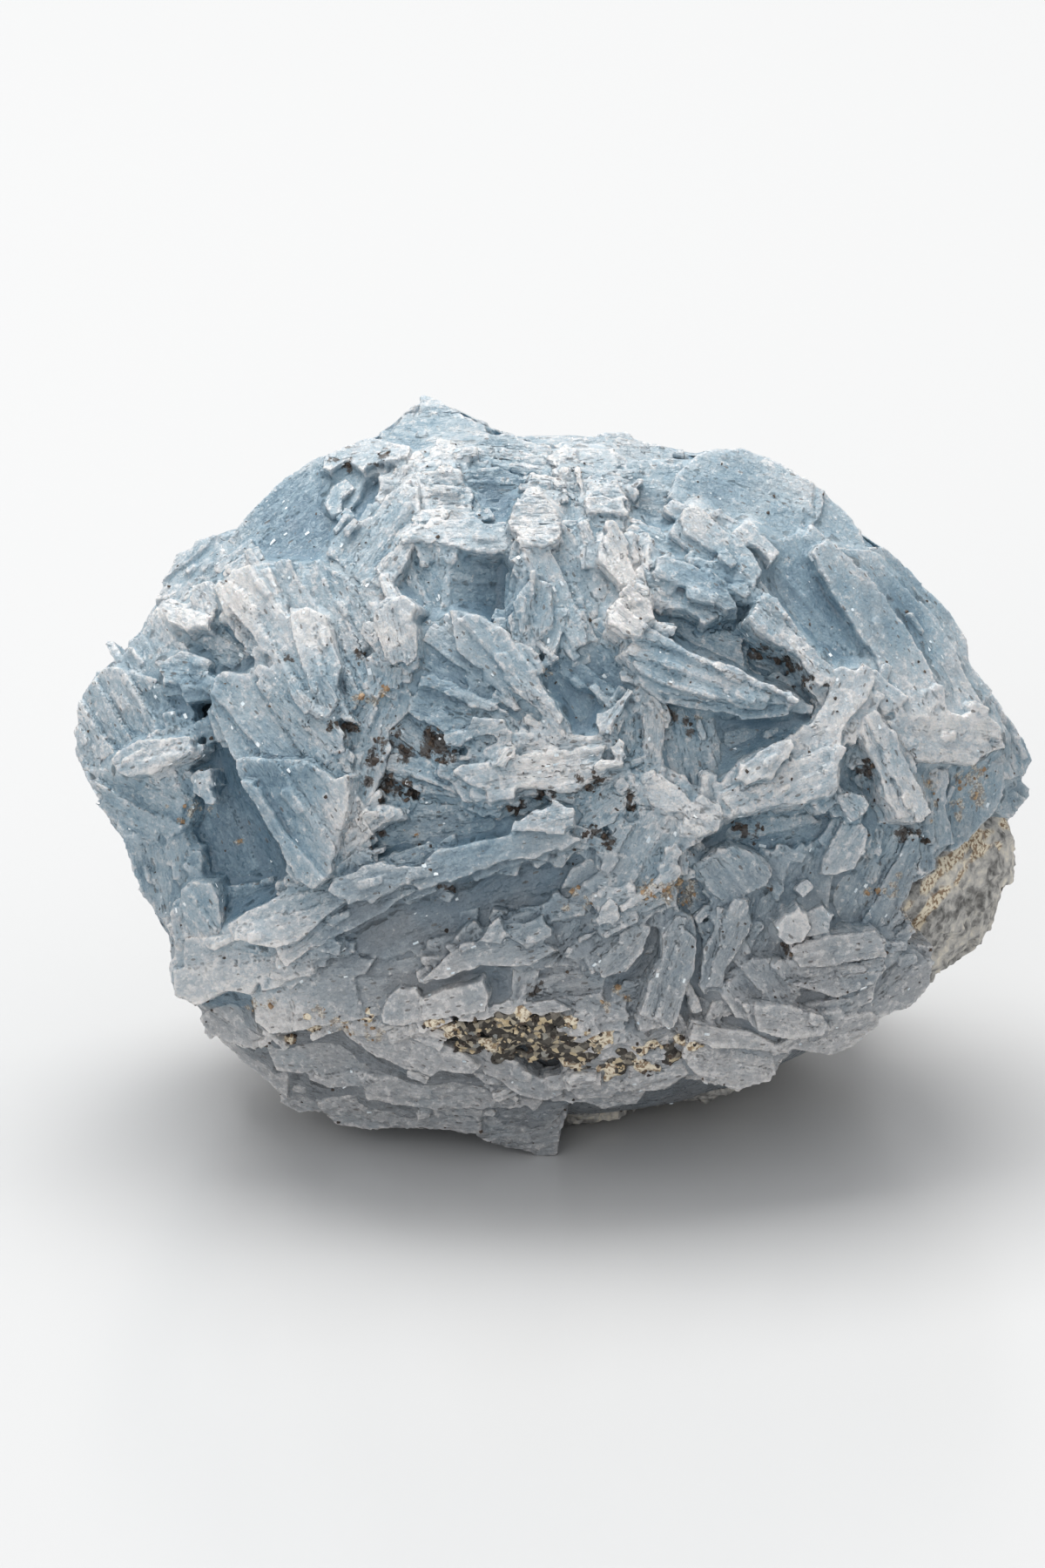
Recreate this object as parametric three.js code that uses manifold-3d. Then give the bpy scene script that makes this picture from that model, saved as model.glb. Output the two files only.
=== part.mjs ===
import * as THREE from 'three';
import { mergeVertices } from 'three/addons/utils/BufferGeometryUtils.js';
import Module from 'manifold-3d';

// A domed cluster of pale-blue baryte blades on its host rock. Millimetres and degrees, +Z up.
const wasm = await Module();
wasm.setup();

// Driving dimensions. The dome is laid out in a frame that leans back from the upright:
// u runs to the right, v runs up the leaning plane, and w stands out of it, towards the front.
const lean = 22;              // how far the dome's layout leans back
const domeHalfWidth = 36.5;
const domeHalfHeight = 29;
const domeRise = 20;          // how far the middle of the dome stands out of the leaning plane
const centreHeight = 25.1;    // the dome's middle above the surface that it rests on
const slopeShare = 0.7;       // how much of the dome's own slope a blade's face takes up
const steepest = 1.3;         // the steepest slope of a face, rise over run
const rootTaper = 1.04;       // a blade's root against its face
const rockGap = 0.32;         // clearance between the crystals and the rock
const coreRadii = [32.5, 25.5, 17.6];
const rootBelow = 6;          // how far a blade's root lies below the dome
const thinnest = 2.6;
const leastStep = 0.9;        // the smallest step that an outline keeps
const rimInside = 0.03;       // how near the dome's rim its height stops falling, as a share
const rimHeight = 7;          // least height used for the dome's slope
const centring = [-0.3, -0.5]; // brings the middle of the finished outline over the origin

const radians = (degrees) => (degrees * Math.PI) / 180;

// ---- solids -------------------------------------------------------------------------------

function solidOf(geometry) {
  const plain = geometry.index ? geometry.toNonIndexed() : geometry.clone();
  plain.deleteAttribute('normal');
  plain.deleteAttribute('uv');
  const merged = mergeVertices(plain, 1e-5);
  return new wasm.Manifold(new wasm.Mesh({
    numProp: 3,
    vertProperties: new Float32Array(merged.attributes.position.array),
    triVerts: new Uint32Array(merged.index.array),
  }));
}

function geometryOf(solid) {
  const mesh = solid.getMesh();
  const geometry = new THREE.BufferGeometry();
  geometry.setAttribute('position', new THREE.BufferAttribute(mesh.vertProperties, 3));
  geometry.setIndex(mainBody(mesh.triVerts, mesh.vertProperties.length / 3));
  geometry.computeVertexNormals();
  return geometry;
}

// The triangles of the largest connected body: crumbs that a cut leaves loose and pockets that
// are sealed inside are left out.
function mainBody(corners, pointCount) {
  const parent = Int32Array.from({ length: pointCount }, (unused, i) => i);
  const rootOf = (i) => {
    let at = i;
    while (parent[at] !== at) at = parent[at];
    parent[i] = at;
    return at;
  };
  for (let i = 0; i < corners.length; i += 3) {
    parent[rootOf(corners[i])] = rootOf(corners[i + 1]);
    parent[rootOf(corners[i + 1])] = rootOf(corners[i + 2]);
  }
  const sizes = new Map();
  for (let i = 0; i < corners.length; i += 3) {
    sizes.set(rootOf(corners[i]), (sizes.get(rootOf(corners[i])) ?? 0) + 1);
  }
  const [main] = [...sizes].reduce((best, entry) => (entry[1] > best[1] ? entry : best));
  return Array.from(corners).filter((unused, i) => rootOf(corners[i - (i % 3)]) === main);
}

function joined(solids) {
  let level = solids;
  while (level.length > 1) {
    const next = [];
    for (let i = 0; i < level.length; i += 2) {
      next.push(i + 1 < level.length ? level[i].add(level[i + 1]) : level[i]);
    }
    level = next;
  }
  return level[0];
}

// A closed block from a ring of face corners and a ring of root corners, both in the same order.
function blockSolid(face, root, flat) {
  const count = face.length;
  const positions = [...face, ...root].flatMap((p) => [p.x, p.y, p.z]);
  const caps = THREE.ShapeUtils.triangulateShape(flat, []);
  const index = [];
  for (const [a, b, c] of caps) {
    index.push(a, b, c, count + c, count + b, count + a);
  }
  for (let i = 0; i < count; i += 1) {
    const j = (i + 1) % count;
    index.push(i, count + i, count + j, i, count + j, j);
  }
  const geometry = new THREE.BufferGeometry();
  geometry.setAttribute('position', new THREE.Float32BufferAttribute(positions, 3));
  geometry.setIndex(index);
  return solidOf(geometry);
}

// ---- the leaning frame --------------------------------------------------------------------

function domeHeight(u, v) {
  const inside = 1 - (u / domeHalfWidth) ** 2 - (v / domeHalfHeight) ** 2;
  return domeRise * Math.sqrt(Math.max(rimInside, inside));
}

function domeSlope(u, v) {
  const height = Math.max(domeHeight(u, v), rimHeight);
  const factor = -(domeRise ** 2) / height;
  return [factor * (u / domeHalfWidth ** 2), factor * (v / domeHalfHeight ** 2)];
}

const leaning = new THREE.Matrix4().makeBasis(
  new THREE.Vector3(1, 0, 0),
  new THREE.Vector3(0, Math.sin(radians(lean)), Math.cos(radians(lean))),
  new THREE.Vector3(0, -Math.cos(radians(lean)), Math.sin(radians(lean))),
).setPosition(centring[0], centring[1], centreHeight);

// The corners that give an outline its shape: one that stands off its neighbours' chord by less
// than the least step is left out.
function mainCorners(ring) {
  const kept = [...ring];
  for (;;) {
    let least = leastStep;
    let weakest = -1;
    for (let i = 0; i < kept.length && kept.length > 4; i += 1) {
      const before = kept[(i + kept.length - 1) % kept.length];
      const after = kept[(i + 1) % kept.length];
      const chord = after.clone().sub(before);
      const step = Math.abs(chord.cross(kept[i].clone().sub(before))) / chord.length();
      if (step < least) [least, weakest] = [step, i];
    }
    if (weakest < 0) return kept;
    kept.splice(weakest, 1);
  }
}

// One blade of the front: its face has the given outline, seen square on to the leaning plane.
// rise lifts the face above the dome, turn and tilt lean the face towards a direction.
function frontBlade([rise, turn, tilt, outline]) {
  let flat = [];
  for (let i = 0; i < outline.length; i += 2) {
    flat.push(new THREE.Vector2(outline[i], outline[i + 1]));
  }
  if (THREE.ShapeUtils.isClockWise(flat)) flat = flat.reverse();
  flat = mainCorners(flat);
  const middle = flat.reduce((sum, p) => sum.add(p), new THREE.Vector2()).divideScalar(flat.length);
  const slope = domeSlope(middle.x, middle.y).map((value) => value * slopeShare);
  slope[0] -= Math.tan(radians(tilt)) * Math.cos(radians(turn));
  slope[1] -= Math.tan(radians(tilt)) * Math.sin(radians(turn));
  const size = Math.hypot(...slope);
  const limit = size > steepest ? steepest / size : 1;
  const [slopeU, slopeV] = slope.map((value) => value * limit);
  const normal = new THREE.Vector3(-slopeU, -slopeV, 1).normalize();
  const height = domeHeight(middle.x, middle.y) + rise;
  const depth = Math.max(rise + rootBelow, thinnest);
  const face = flat.map((p) => {
    const w = height + slopeU * (p.x - middle.x) + slopeV * (p.y - middle.y);
    return new THREE.Vector3(p.x, p.y, w);
  });
  const faceMiddle = new THREE.Vector3(middle.x, middle.y, height);
  const root = face.map((p) => p.clone().sub(faceMiddle).multiplyScalar(rootTaper)
    .add(faceMiddle).addScaledVector(normal, -depth));
  const place = (ring) => ring.map((p) => p.clone().applyMatrix4(leaning));
  return blockSolid(place(face), place(root), flat);
}

// ---- the front's blades -------------------------------------------------------------------
// Each row: rise above the dome, direction it leans to, lean, outline as u, v pairs.

const crown = [
  [-2.6, 90, 12, [-13.7, 24.8, -12.7, 25.6, -11.9, 25.8, -10.4, 27.7, -9.3, 28, -8, 27.3,
    -4.4, 25.6, -4, 24, -9.5, 23.8, -13, 24]],
  [-0.9, 90, 8, [-10.2, 23.3, -9.6, 24, -8.6, 24.6, -6, 24.4, -4.6, 25.1, -2.8, 25, -0.4, 24.2,
    1.5, 22.9, 2.2, 21.9, 1, 21.2, -1.4, 21.3, -4, 22.4, -6.8, 22.5, -9.8, 22.8]],
  [0.2, 90, 6, [-9.9, 22.9, -8.9, 24.2, -7.5, 24.3, -5.8, 24.1, -6, 23.2, -7, 22.5, -8.8, 22.5]],
  [-2.2, 95, 15, [-0.3, 24.3, 0.3, 24.8, 2.5, 24.9, 3.8, 25.1, 5.4, 25.1, 5.9, 24.7, 8.2, 24.1,
    9.6, 23.9, 10.4, 23.4, 9, 22, 2, 22.4]],
  [-0.7, 80, 10, [-0.6, 23.3, 0.3, 24, 4.5, 24.1, 5.4, 23.3, 5.3, 22.2, 2.5, 21.2, 1.2, 21.8]],
  [-0.8, 60, 5, [5.3, 23, 7, 23.2, 9.5, 23, 10, 21.5, 8.7, 20.8, 6, 20.8, 5, 21.6]],
  [0.4, 110, 5, [-17.3, 22.6, -16.5, 23.6, -13.7, 24.9, -12, 24.4, -10, 24, -10.1, 23.2,
    -12.1, 23.2, -13.9, 22.1, -15, 23, -16.3, 22.2]],
  [-1, 130, 8, [-24, 17.4, -22, 19.8, -20, 21.8, -17.4, 23.5, -15.2, 24, -13.7, 22.4, -14.4, 20,
    -16, 18, -17, 15.9, -20.5, 15.6, -23, 15.8]],
  [-1.7, 120, 5, [-15.2, 21.2, -13, 22.8, -11.4, 22.6, -12.6, 20, -14, 18.6, -15.2, 18.9]],
];

const crownMiddle = [
  [0.1, 100, 8, [-11.2, 20.4, -10, 22.2, -6.8, 22.4, -6.2, 21, -5.2, 19.4, -6, 18.6, -9, 18.8,
    -10.6, 18.6]],
  [-1.8, 60, 6, [-6.7, 22.1, -4, 22.5, -1.3, 21.3, -2.3, 20.3, -3.3, 18.4, -4.9, 18.2,
    -6.4, 20]],
  [1.3, 80, 12, [-11.1, 17.7, -9, 18.7, -6, 19, -5, 18.4, -3.4, 18.5, -2.2, 17.3, -3.6, 16.2,
    -6.2, 16.4, -8.6, 17, -11, 16.9]],
  [2.2, 95, 14, [-3.4, 18.4, -3, 19.5, -2, 20.9, -1.2, 21.1, -0.5, 20.2, 0.3, 19.3, 0.7, 17.4,
    -1, 16.6, -2.6, 16.8]],
  [1.2, 20, 6, [-2.8, 17.2, -0.8, 17.5, 0.6, 15, 1.9, 11.5, 2.9, 8.5, 1.5, 8, 0.3, 10, -0.4, 13,
    -2, 14.4, -3.2, 15.8]],
  [0.5, 20, 8, [-0.9, 17.8, 0.6, 18.3, 2.3, 16.5, 3.5, 14, 4.3, 11.6, 2.8, 11, 1.2, 13.5]],
  [-0.1, 20, 12, [0.2, 20.3, 1, 20.9, 2, 20.5, 2.2, 17.8, 1.6, 16.8, 0.5, 18.2]],
  [1.1, 10, 12, [2.3, 20.4, 4.7, 21.8, 5.7, 20, 5.3, 17.3, 4.2, 17.7, 3, 16.6, 2.3, 18]],
  [2, 20, 10, [4.1, 17.8, 4.9, 17.4, 5.5, 16.2, 6.1, 14.5, 6, 13.2, 5, 13.6, 3.2, 15.5,
    3.4, 17]],
  [0.7, 340, 8, [2.4, 15.8, 4, 15.8, 5.6, 13.2, 4.4, 12.2, 3.2, 13.2]],
  [-1.6, 10, 10, [5.6, 21.2, 8.7, 21, 9.2, 18.4, 7, 18.2, 5.4, 19]],
];

const blueHollow = [
  [-4.6, 350, 12, [-8.3, 11.4, -7.6, 15.8, -5, 17, -3.2, 16, -3, 10.8, -5, 10.6]],
  [0.6, 190, 10, [-12.2, 16.6, -9.7, 16.7, -8, 16.2, -7.4, 14, -7.6, 11, -9.9, 10, -10.1, 12.4,
    -11.2, 13.2, -12.4, 14.6]],
  [2.1, 200, 8, [-2.9, 12.6, -1.9, 14, -1, 14.3, -0.2, 14, -0.1, 10.8, -0.8, 10.1, -1.8, 9.4,
    -2.5, 10.4]],
  [2.6, 200, 12, [-12.9, 12.6, -12.3, 13.1, -11, 13.1, -10.1, 12.4, -9.9, 8.8, -10.1, 8.1,
    -10.9, 7.3, -12.2, 8.7, -13, 10.8]],
];

const leftFan = [
  [1.1, 120, 8, [-16.9, 15.4, -16.2, 17.2, -14.9, 18.3, -13.2, 19, -12.2, 20.6, -10.2, 22,
    -9.8, 20.4, -9.5, 18, -10.4, 16.2, -12, 13, -15, 13.2]],
  [0.7, 160, 6, [-20.8, 15.6, -16.9, 15.8, -14, 13.6, -11.8, 13.4, -12.6, 10.4, -13, 8.2,
    -13.5, 6, -14.7, 4.2, -16.4, 5, -18, 9, -20, 12.6, -21.6, 14.9]],
  [1.9, 170, 10, [-24.3, 13.9, -23.4, 15.1, -21, 15.7, -19.6, 12.4, -17.6, 9, -15.7, 6,
    -14.8, 4.1, -17, 4.2, -18.1, 4.4, -20.3, 7.8, -22.6, 11, -24.2, 12.9]],
  [2.2, 150, 6, [-19.2, 11.6, -18, 12.3, -16.5, 11.6, -16, 9.6, -15.4, 8, -16, 5.2, -17.2, 4.8,
    -18.2, 7.6, -18.9, 10]],
  [1.6, 170, 10, [-22.3, 7.7, -21.8, 8.2, -20, 7.6, -18.2, 4.6, -16, 4.2, -15.1, 2.9,
    -15.2, 0.6, -16.2, 0, -17.2, 0.4, -19.4, 3.3, -21.4, 6.1]],
  [0.9, 180, 10, [-25.1, 5.7, -24.7, 7.2, -24, 7.6, -22.2, 7.4, -20.8, 5.4, -19, 3, -17.3, 0.6,
    -22.9, 0.8, -23.8, 2, -25, 4.6]],
  [2.3, 185, 12, [-23.3, 1.3, -20.5, 1.1, -18, 1.1, -15.9, -0.3, -14.8, 0, -15, -3, -15.8, -5,
    -16.1, -7, -17.4, -8.2, -18.9, -7.3, -20, -5, -21.8, -2, -22.9, -0.2]],
  [3, 200, 14, [-22.9, -0.3, -21.9, -0.5, -20.4, -2.8, -19.3, -4.6, -17.6, -6.4, -16.6, -7.6,
    -17.5, -8.3, -18.9, -7.4, -20, -5.1, -21.8, -2]],
  [-2.6, 200, 8, [-26.8, 2.6, -24.6, 3, -22.4, 0.6, -18.6, -7, -20, -8.4, -24.9, -8.6,
    -25.7, -5.5, -27, -3.8]],
  [-1.5, 170, 6, [-27.3, 11.6, -24.4, 12, -21.6, 9, -21.4, 7.2, -25.3, 7.6, -27.2, 8.6]],
  [-1.2, 120, 10, [-25.2, -8.2, -22, -7.8, -19, -7.6, -19.6, -9.2, -23, -10.4, -24.4, -11.6,
    -25.2, -10]],
  [0.7, 150, 4, [-15.3, 4, -13.6, 6.2, -11, 7.6, -10, 5, -12, 3.2, -12.2, 0.6, -13, -1.4,
    -15, -3, -15.2, 0]],
];

const farLeft = [
  [-0.2, 170, 4, [-35.4, 2.7, -34.9, 4.5, -34.6, 6.7, -33.9, 7.8, -32.2, 8, -29.5, 7.2,
    -27.4, 6.4, -27.4, 3.4, -30, 2.2, -32.6, 0.4, -34.8, 0.4, -35.2, 1.5]],
  [-0.6, 150, 6, [-32, 7.8, -31.1, 10.4, -30.4, 11.3, -29.4, 12.9, -27.4, 12.4, -26.6, 10.8,
    -27, 7, -30, 6.8]],
  [-0.6, 130, 6, [-29.4, 12.8, -28.5, 14.7, -27.8, 16.3, -26.5, 16.7, -26.3, 17.3, -24.9, 17.6,
    -23.6, 17.5, -23.4, 15.6, -24.4, 14, -26.5, 12.6]],
  [0.2, 160, 4, [-26.5, 14.1, -24.9, 14.2, -24.3, 12.8, -24.7, 11.6, -26.5, 12]],
  [0.7, 110, 20, [-28.9, 12.7, -27, 12.3, -25, 11.5, -25.4, 10.8, -27, 10.6, -28.2, 11.2]],
  [0.7, 150, 8, [-29.3, 8.3, -27.3, 9.2, -25.4, 8.5, -25.2, 7.3, -26.3, 6.4, -28.5, 6.7]],
  [1.5, 110, 10, [-32.5, 1.1, -31.8, 1.9, -30.4, 2.6, -28, 2.8, -26.5, 2.9, -26.4, 1.7, -28, 0.9,
    -29.5, 0, -31.2, -0.1, -32.3, 0.4]],
  [-0.1, 190, 5, [-34.8, 0.5, -33.7, -0.9, -33.8, -1.9, -32.6, -3.3, -31.5, -4.7, -29, -5,
    -27.2, -4.2, -26.7, -2, -27.4, 0, -29.5, 0.4, -32, 0.6]],
  [-0.5, 200, 4, [-31.5, -4.4, -30.9, -6.5, -30.4, -8.3, -29.2, -10, -28.5, -11.3, -27.6, -11,
    -26.9, -8, -26.2, -6.6, -27, -4.2, -28.5, -4]],
  [0.9, 190, 6, [-27.3, -8.3, -26.6, -7.7, -25.1, -7.9, -24.5, -9, -24.3, -11.5, -25.2, -12.2,
    -27.3, -12, -27.5, -9.5]],
];

const longBlades = [
  [1.4, 130, 12, [-28.3, -14.4, -27.9, -12.4, -27, -11.8, -24.6, -12, -22, -12.4, -19, -12,
    -17.6, -12.8, -19.2, -14.1, -21.5, -15, -22.2, -16.1, -24, -15.8, -26.2, -16.9, -27.8, -16.2]],
  [2.6, 125, 10, [-24, -10.9, -22.5, -10, -20.5, -9, -18.5, -8.4, -16.4, -8.2, -14.6, -8.9,
    -16.4, -10.1, -18.4, -12, -20.2, -12.6, -22, -12.3, -23.6, -12]],
  [2.8, 120, 12, [-16.4, -8.4, -15.8, -7.4, -14, -6.7, -12.4, -6.2, -9.6, -6.6, -10.6, -8,
    -13, -9.2, -15, -9.4]],
  [2, 290, 6, [-19.4, -14, -17.7, -12.8, -15, -11.4, -12, -9.8, -9.8, -8.4, -11, -7.7,
    -13.4, -8.8, -16, -10.2, -18.4, -11.8, -20.2, -12.8]],
  [2.2, 110, 8, [-11, -7.8, -9.7, -6.8, -8.5, -5.4, -6, -4.9, -2.6, -4.2, 1.2, -4.1, 2, -4.6,
    0.5, -5.5, -1, -5.9, -3, -6.2, -5, -6.9, -7.5, -7.8, -9.8, -8.4]],
  [2.9, 110, 8, [-3.1, -4.1, -2.9, -3.5, -1.5, -2.6, 0, -1.8, 0.8, -2.2, 1.5, -3, 1.5, -3.8,
    0.8, -4.3]],
  [1.4, 120, 6, [-14.6, -7, -11.8, -5.6, -9, -4.8, -8.2, -5.4, -9.6, -6.8, -11, -8, -13, -8.6]],
  [-0.9, 285, 8, [-16, -12.2, -15, -11.4, -11, -9.4, -7, -7.9, -3, -6.5, 0, -5.9, 2.4, -5.2,
    3.3, -6.4, 3.3, -7.6, 2, -8.4, 0.5, -9, -1, -9.8, -4.2, -10.4, -5.5, -11.4, -8, -12.4,
    -12, -13.4, -15.5, -13]],
  [1.3, 110, 10, [-9.8, -15.1, -8.7, -14.1, -7.4, -12.9, -5.4, -11.9, -2, -11.7, -0.6, -12.3,
    0.3, -12.8, -1.8, -13.9, -5.3, -13.9, -7.5, -14.7]],
  [1.6, 120, 8, [-5.5, -12.1, -4.8, -11.1, -3.8, -10.2, -3.3, -11.6, -3.8, -12.3]],
  [1.5, 100, 8, [-3.3, -11.8, -2.9, -11.1, -0.7, -10.1, -0.3, -11.6, -0.8, -12.4, -2, -12.6]],
  [0.1, 280, 6, [-0.6, -10, 2.5, -10.1, 3.2, -10.9, 1.9, -11.6, 1.8, -14, -1.8, -14, -0.2, -12.8,
    -0.4, -11.4]],
  [2, 110, 10, [3, -10.4, 3.4, -9.7, 4.1, -8.9, 4.7, -9.4, 4.8, -10.4, 4.3, -10.9, 3.3, -11]],
  [0.9, 300, 6, [1.7, -12, 2, -11.3, 3.3, -10.8, 4.7, -10.8, 4.2, -11.9, 4.9, -12.8, 4.7, -13.8,
    3, -14.4, 1.9, -14]],
  [-0.3, 270, 5, [-15.2, -14.4, -13, -13.6, -9.9, -13.1, -7.4, -12.8, -8.8, -14.1, -9.8, -15.1,
    -11.5, -15.6, -14.4, -15.1]],
  [0.5, 200, 6, [-18.1, -13.8, -17.5, -13, -15.2, -13.1, -13, -13.4, -13.8, -14.6, -15.4, -15,
    -17.6, -15]],
];

const frontLedge = [
  [1, 210, 10, [-22.2, -16, -22, -18.1, -20.9, -19, -19.2, -18.9, -18.9, -17, -19.7, -15.1,
    -21.2, -15.1]],
  [0.8, 270, 6, [-19.7, -15.2, -17.2, -14.9, -14.5, -14.9, -14, -17.8, -17, -18.4, -19.2, -18.8,
    -19, -17]],
  [1, 250, 8, [-12.6, -17.5, -12.1, -16.2, -11.2, -15.5, -10.1, -15.6, -9.4, -16.5, -9.5, -18,
    -11, -18.4, -12.4, -18.1]],
  [1.2, 240, 8, [-9.7, -16.5, -7.8, -15.6, -5.2, -14.9, -4.7, -16.3, -5, -17.3, -7, -17.7,
    -9.5, -18]],
  [-0.4, 270, 6, [-14.6, -14.8, -11, -15, -5, -13.7, -2.8, -13.8, -2.8, -16.6, -6, -16.8,
    -10, -17.4, -14.4, -17.8]],
  [0.4, 260, 6, [-3, -13.9, -0.9, -13.8, -1.3, -15.5, -1.9, -16.7, -3.1, -16.3]],
  [-0.2, 275, 6, [-0.7, -13.8, 2, -13.8, 4.6, -14.4, 4.2, -16, 3.2, -17.2, 0, -17.2, -1.5, -16.8,
    -1, -15.2]],
  [0.9, 120, 8, [-7.2, -18, -5.2, -17.1, -3.2, -16.3, -1.6, -16.6, 0.1, -16.3, 1.6, -17.3,
    -1, -17.6, -3, -17.4, -5, -17.9]],
  [0.4, 280, 8, [0.2, -18, 1, -17.7, 3, -17.9, 3.6, -19, 2.2, -19.6, 0.8, -19.4, 0.2, -18.7]],
  [-1, 280, 6, [4.5, -11, 6.4, -10.4, 9, -10.4, 9.6, -13, 9.4, -16, 7, -17, 5, -17.3, 4, -15.9,
    4.9, -13]],
  [1.1, 330, 12, [9.1, -10.2, 10.2, -9.8, 10.5, -11.5, 10.6, -13, 10, -14.9, 9, -15.1,
    8.2, -14, 7.9, -12.4, 8.5, -11]],
  [-0.4, 285, 8, [5.2, -15, 8.2, -14.8, 9.9, -15.2, 9.3, -17, 9, -18.8, 7, -19.2, 5, -18.9,
    4.1, -17.4, 4.4, -15.6]],
  [-0.3, 285, 6, [5.7, -19, 8.3, -18.8, 8.8, -19.4, 8.2, -20.9, 6.2, -20.9, 5.6, -20]],
  [-1.2, 300, 8, [10, -15.4, 11.6, -16.2, 12.8, -17.5, 14, -20, 13.5, -22, 10.5, -22.3,
    9.2, -21.5, 9.4, -18.8, 9.3, -17]],
];

const underside = [
  [-1.5, 230, 8, [-26.1, -16.7, -23.9, -15.8, -22, -16, -21.6, -18, -20.8, -19.4, -20.9, -20.4,
    -22.9, -20, -25.3, -18.9, -26.1, -17.7]],
  [-2.5, 230, 8, [-25.2, -18.8, -22.9, -19.6, -21, -20.3, -19.6, -21.4, -19.6, -24.2, -21.5, -22.4,
    -22.9, -21.2, -24.3, -19.9]],
  [-3, 260, 10, [-21.2, -19.6, -18.8, -18.6, -15.6, -18.6, -13.2, -19.6, -9.6, -21.8,
    -12, -22.4, -17.8, -22.1, -20.4, -21.8]],
  [-2.4, 120, 8, [-18.1, -21.8, -16.8, -22.2, -14.7, -21.8, -13.8, -22, -14.3, -23.1,
    -16.6, -23.1, -18, -22.5]],
  [-3, 260, 10, [-20.5, -21.5, -18.2, -22, -14.2, -22.9, -14.4, -24.2, -17.4, -25, -18.7, -25.1,
    -20.2, -24.2]],
  [-1, 220, 8, [-15.9, -18.2, -14.5, -18.7, -12.6, -18.5, -9.4, -19.3, -7, -20.1,
    -5.4, -21.5, -5.9, -22, -8.4, -21.7, -9, -22.1, -11, -21.6, -13, -20.7, -14.9, -19.4]],
  [-1.5, 260, 10, [-6.4, -20.4, -5.1, -19.7, -2.5, -21.1, -0.9, -22.3, 0.9, -22.6, 0.7, -23.4,
    -0.8, -24, -2, -23.7, -5, -22]],
  [-3, 265, 10, [-14.2, -22.2, -10, -22.1, -8.4, -21.6, -5.3, -22, -3.8, -23, -4.4, -24.6,
    -9, -24.8, -13.8, -24]],
  [-3.3, 250, 10, [-17.6, -24.2, -13.8, -23.2, -9.8, -23.2, -5.4, -24, -5.2, -26.5, -7, -26.4,
    -10, -26.1, -13, -26.3, -16, -25.9]],
  [-3.8, 285, 4, [-5.6, -25.7, -4.9, -24.8, -3, -23.9, 1.1, -23.9, 1, -25.3, 0.5, -27, 0.3, -28.1,
    -1, -28.2, -3.5, -27.6, -5.7, -26.7]],
];

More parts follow.
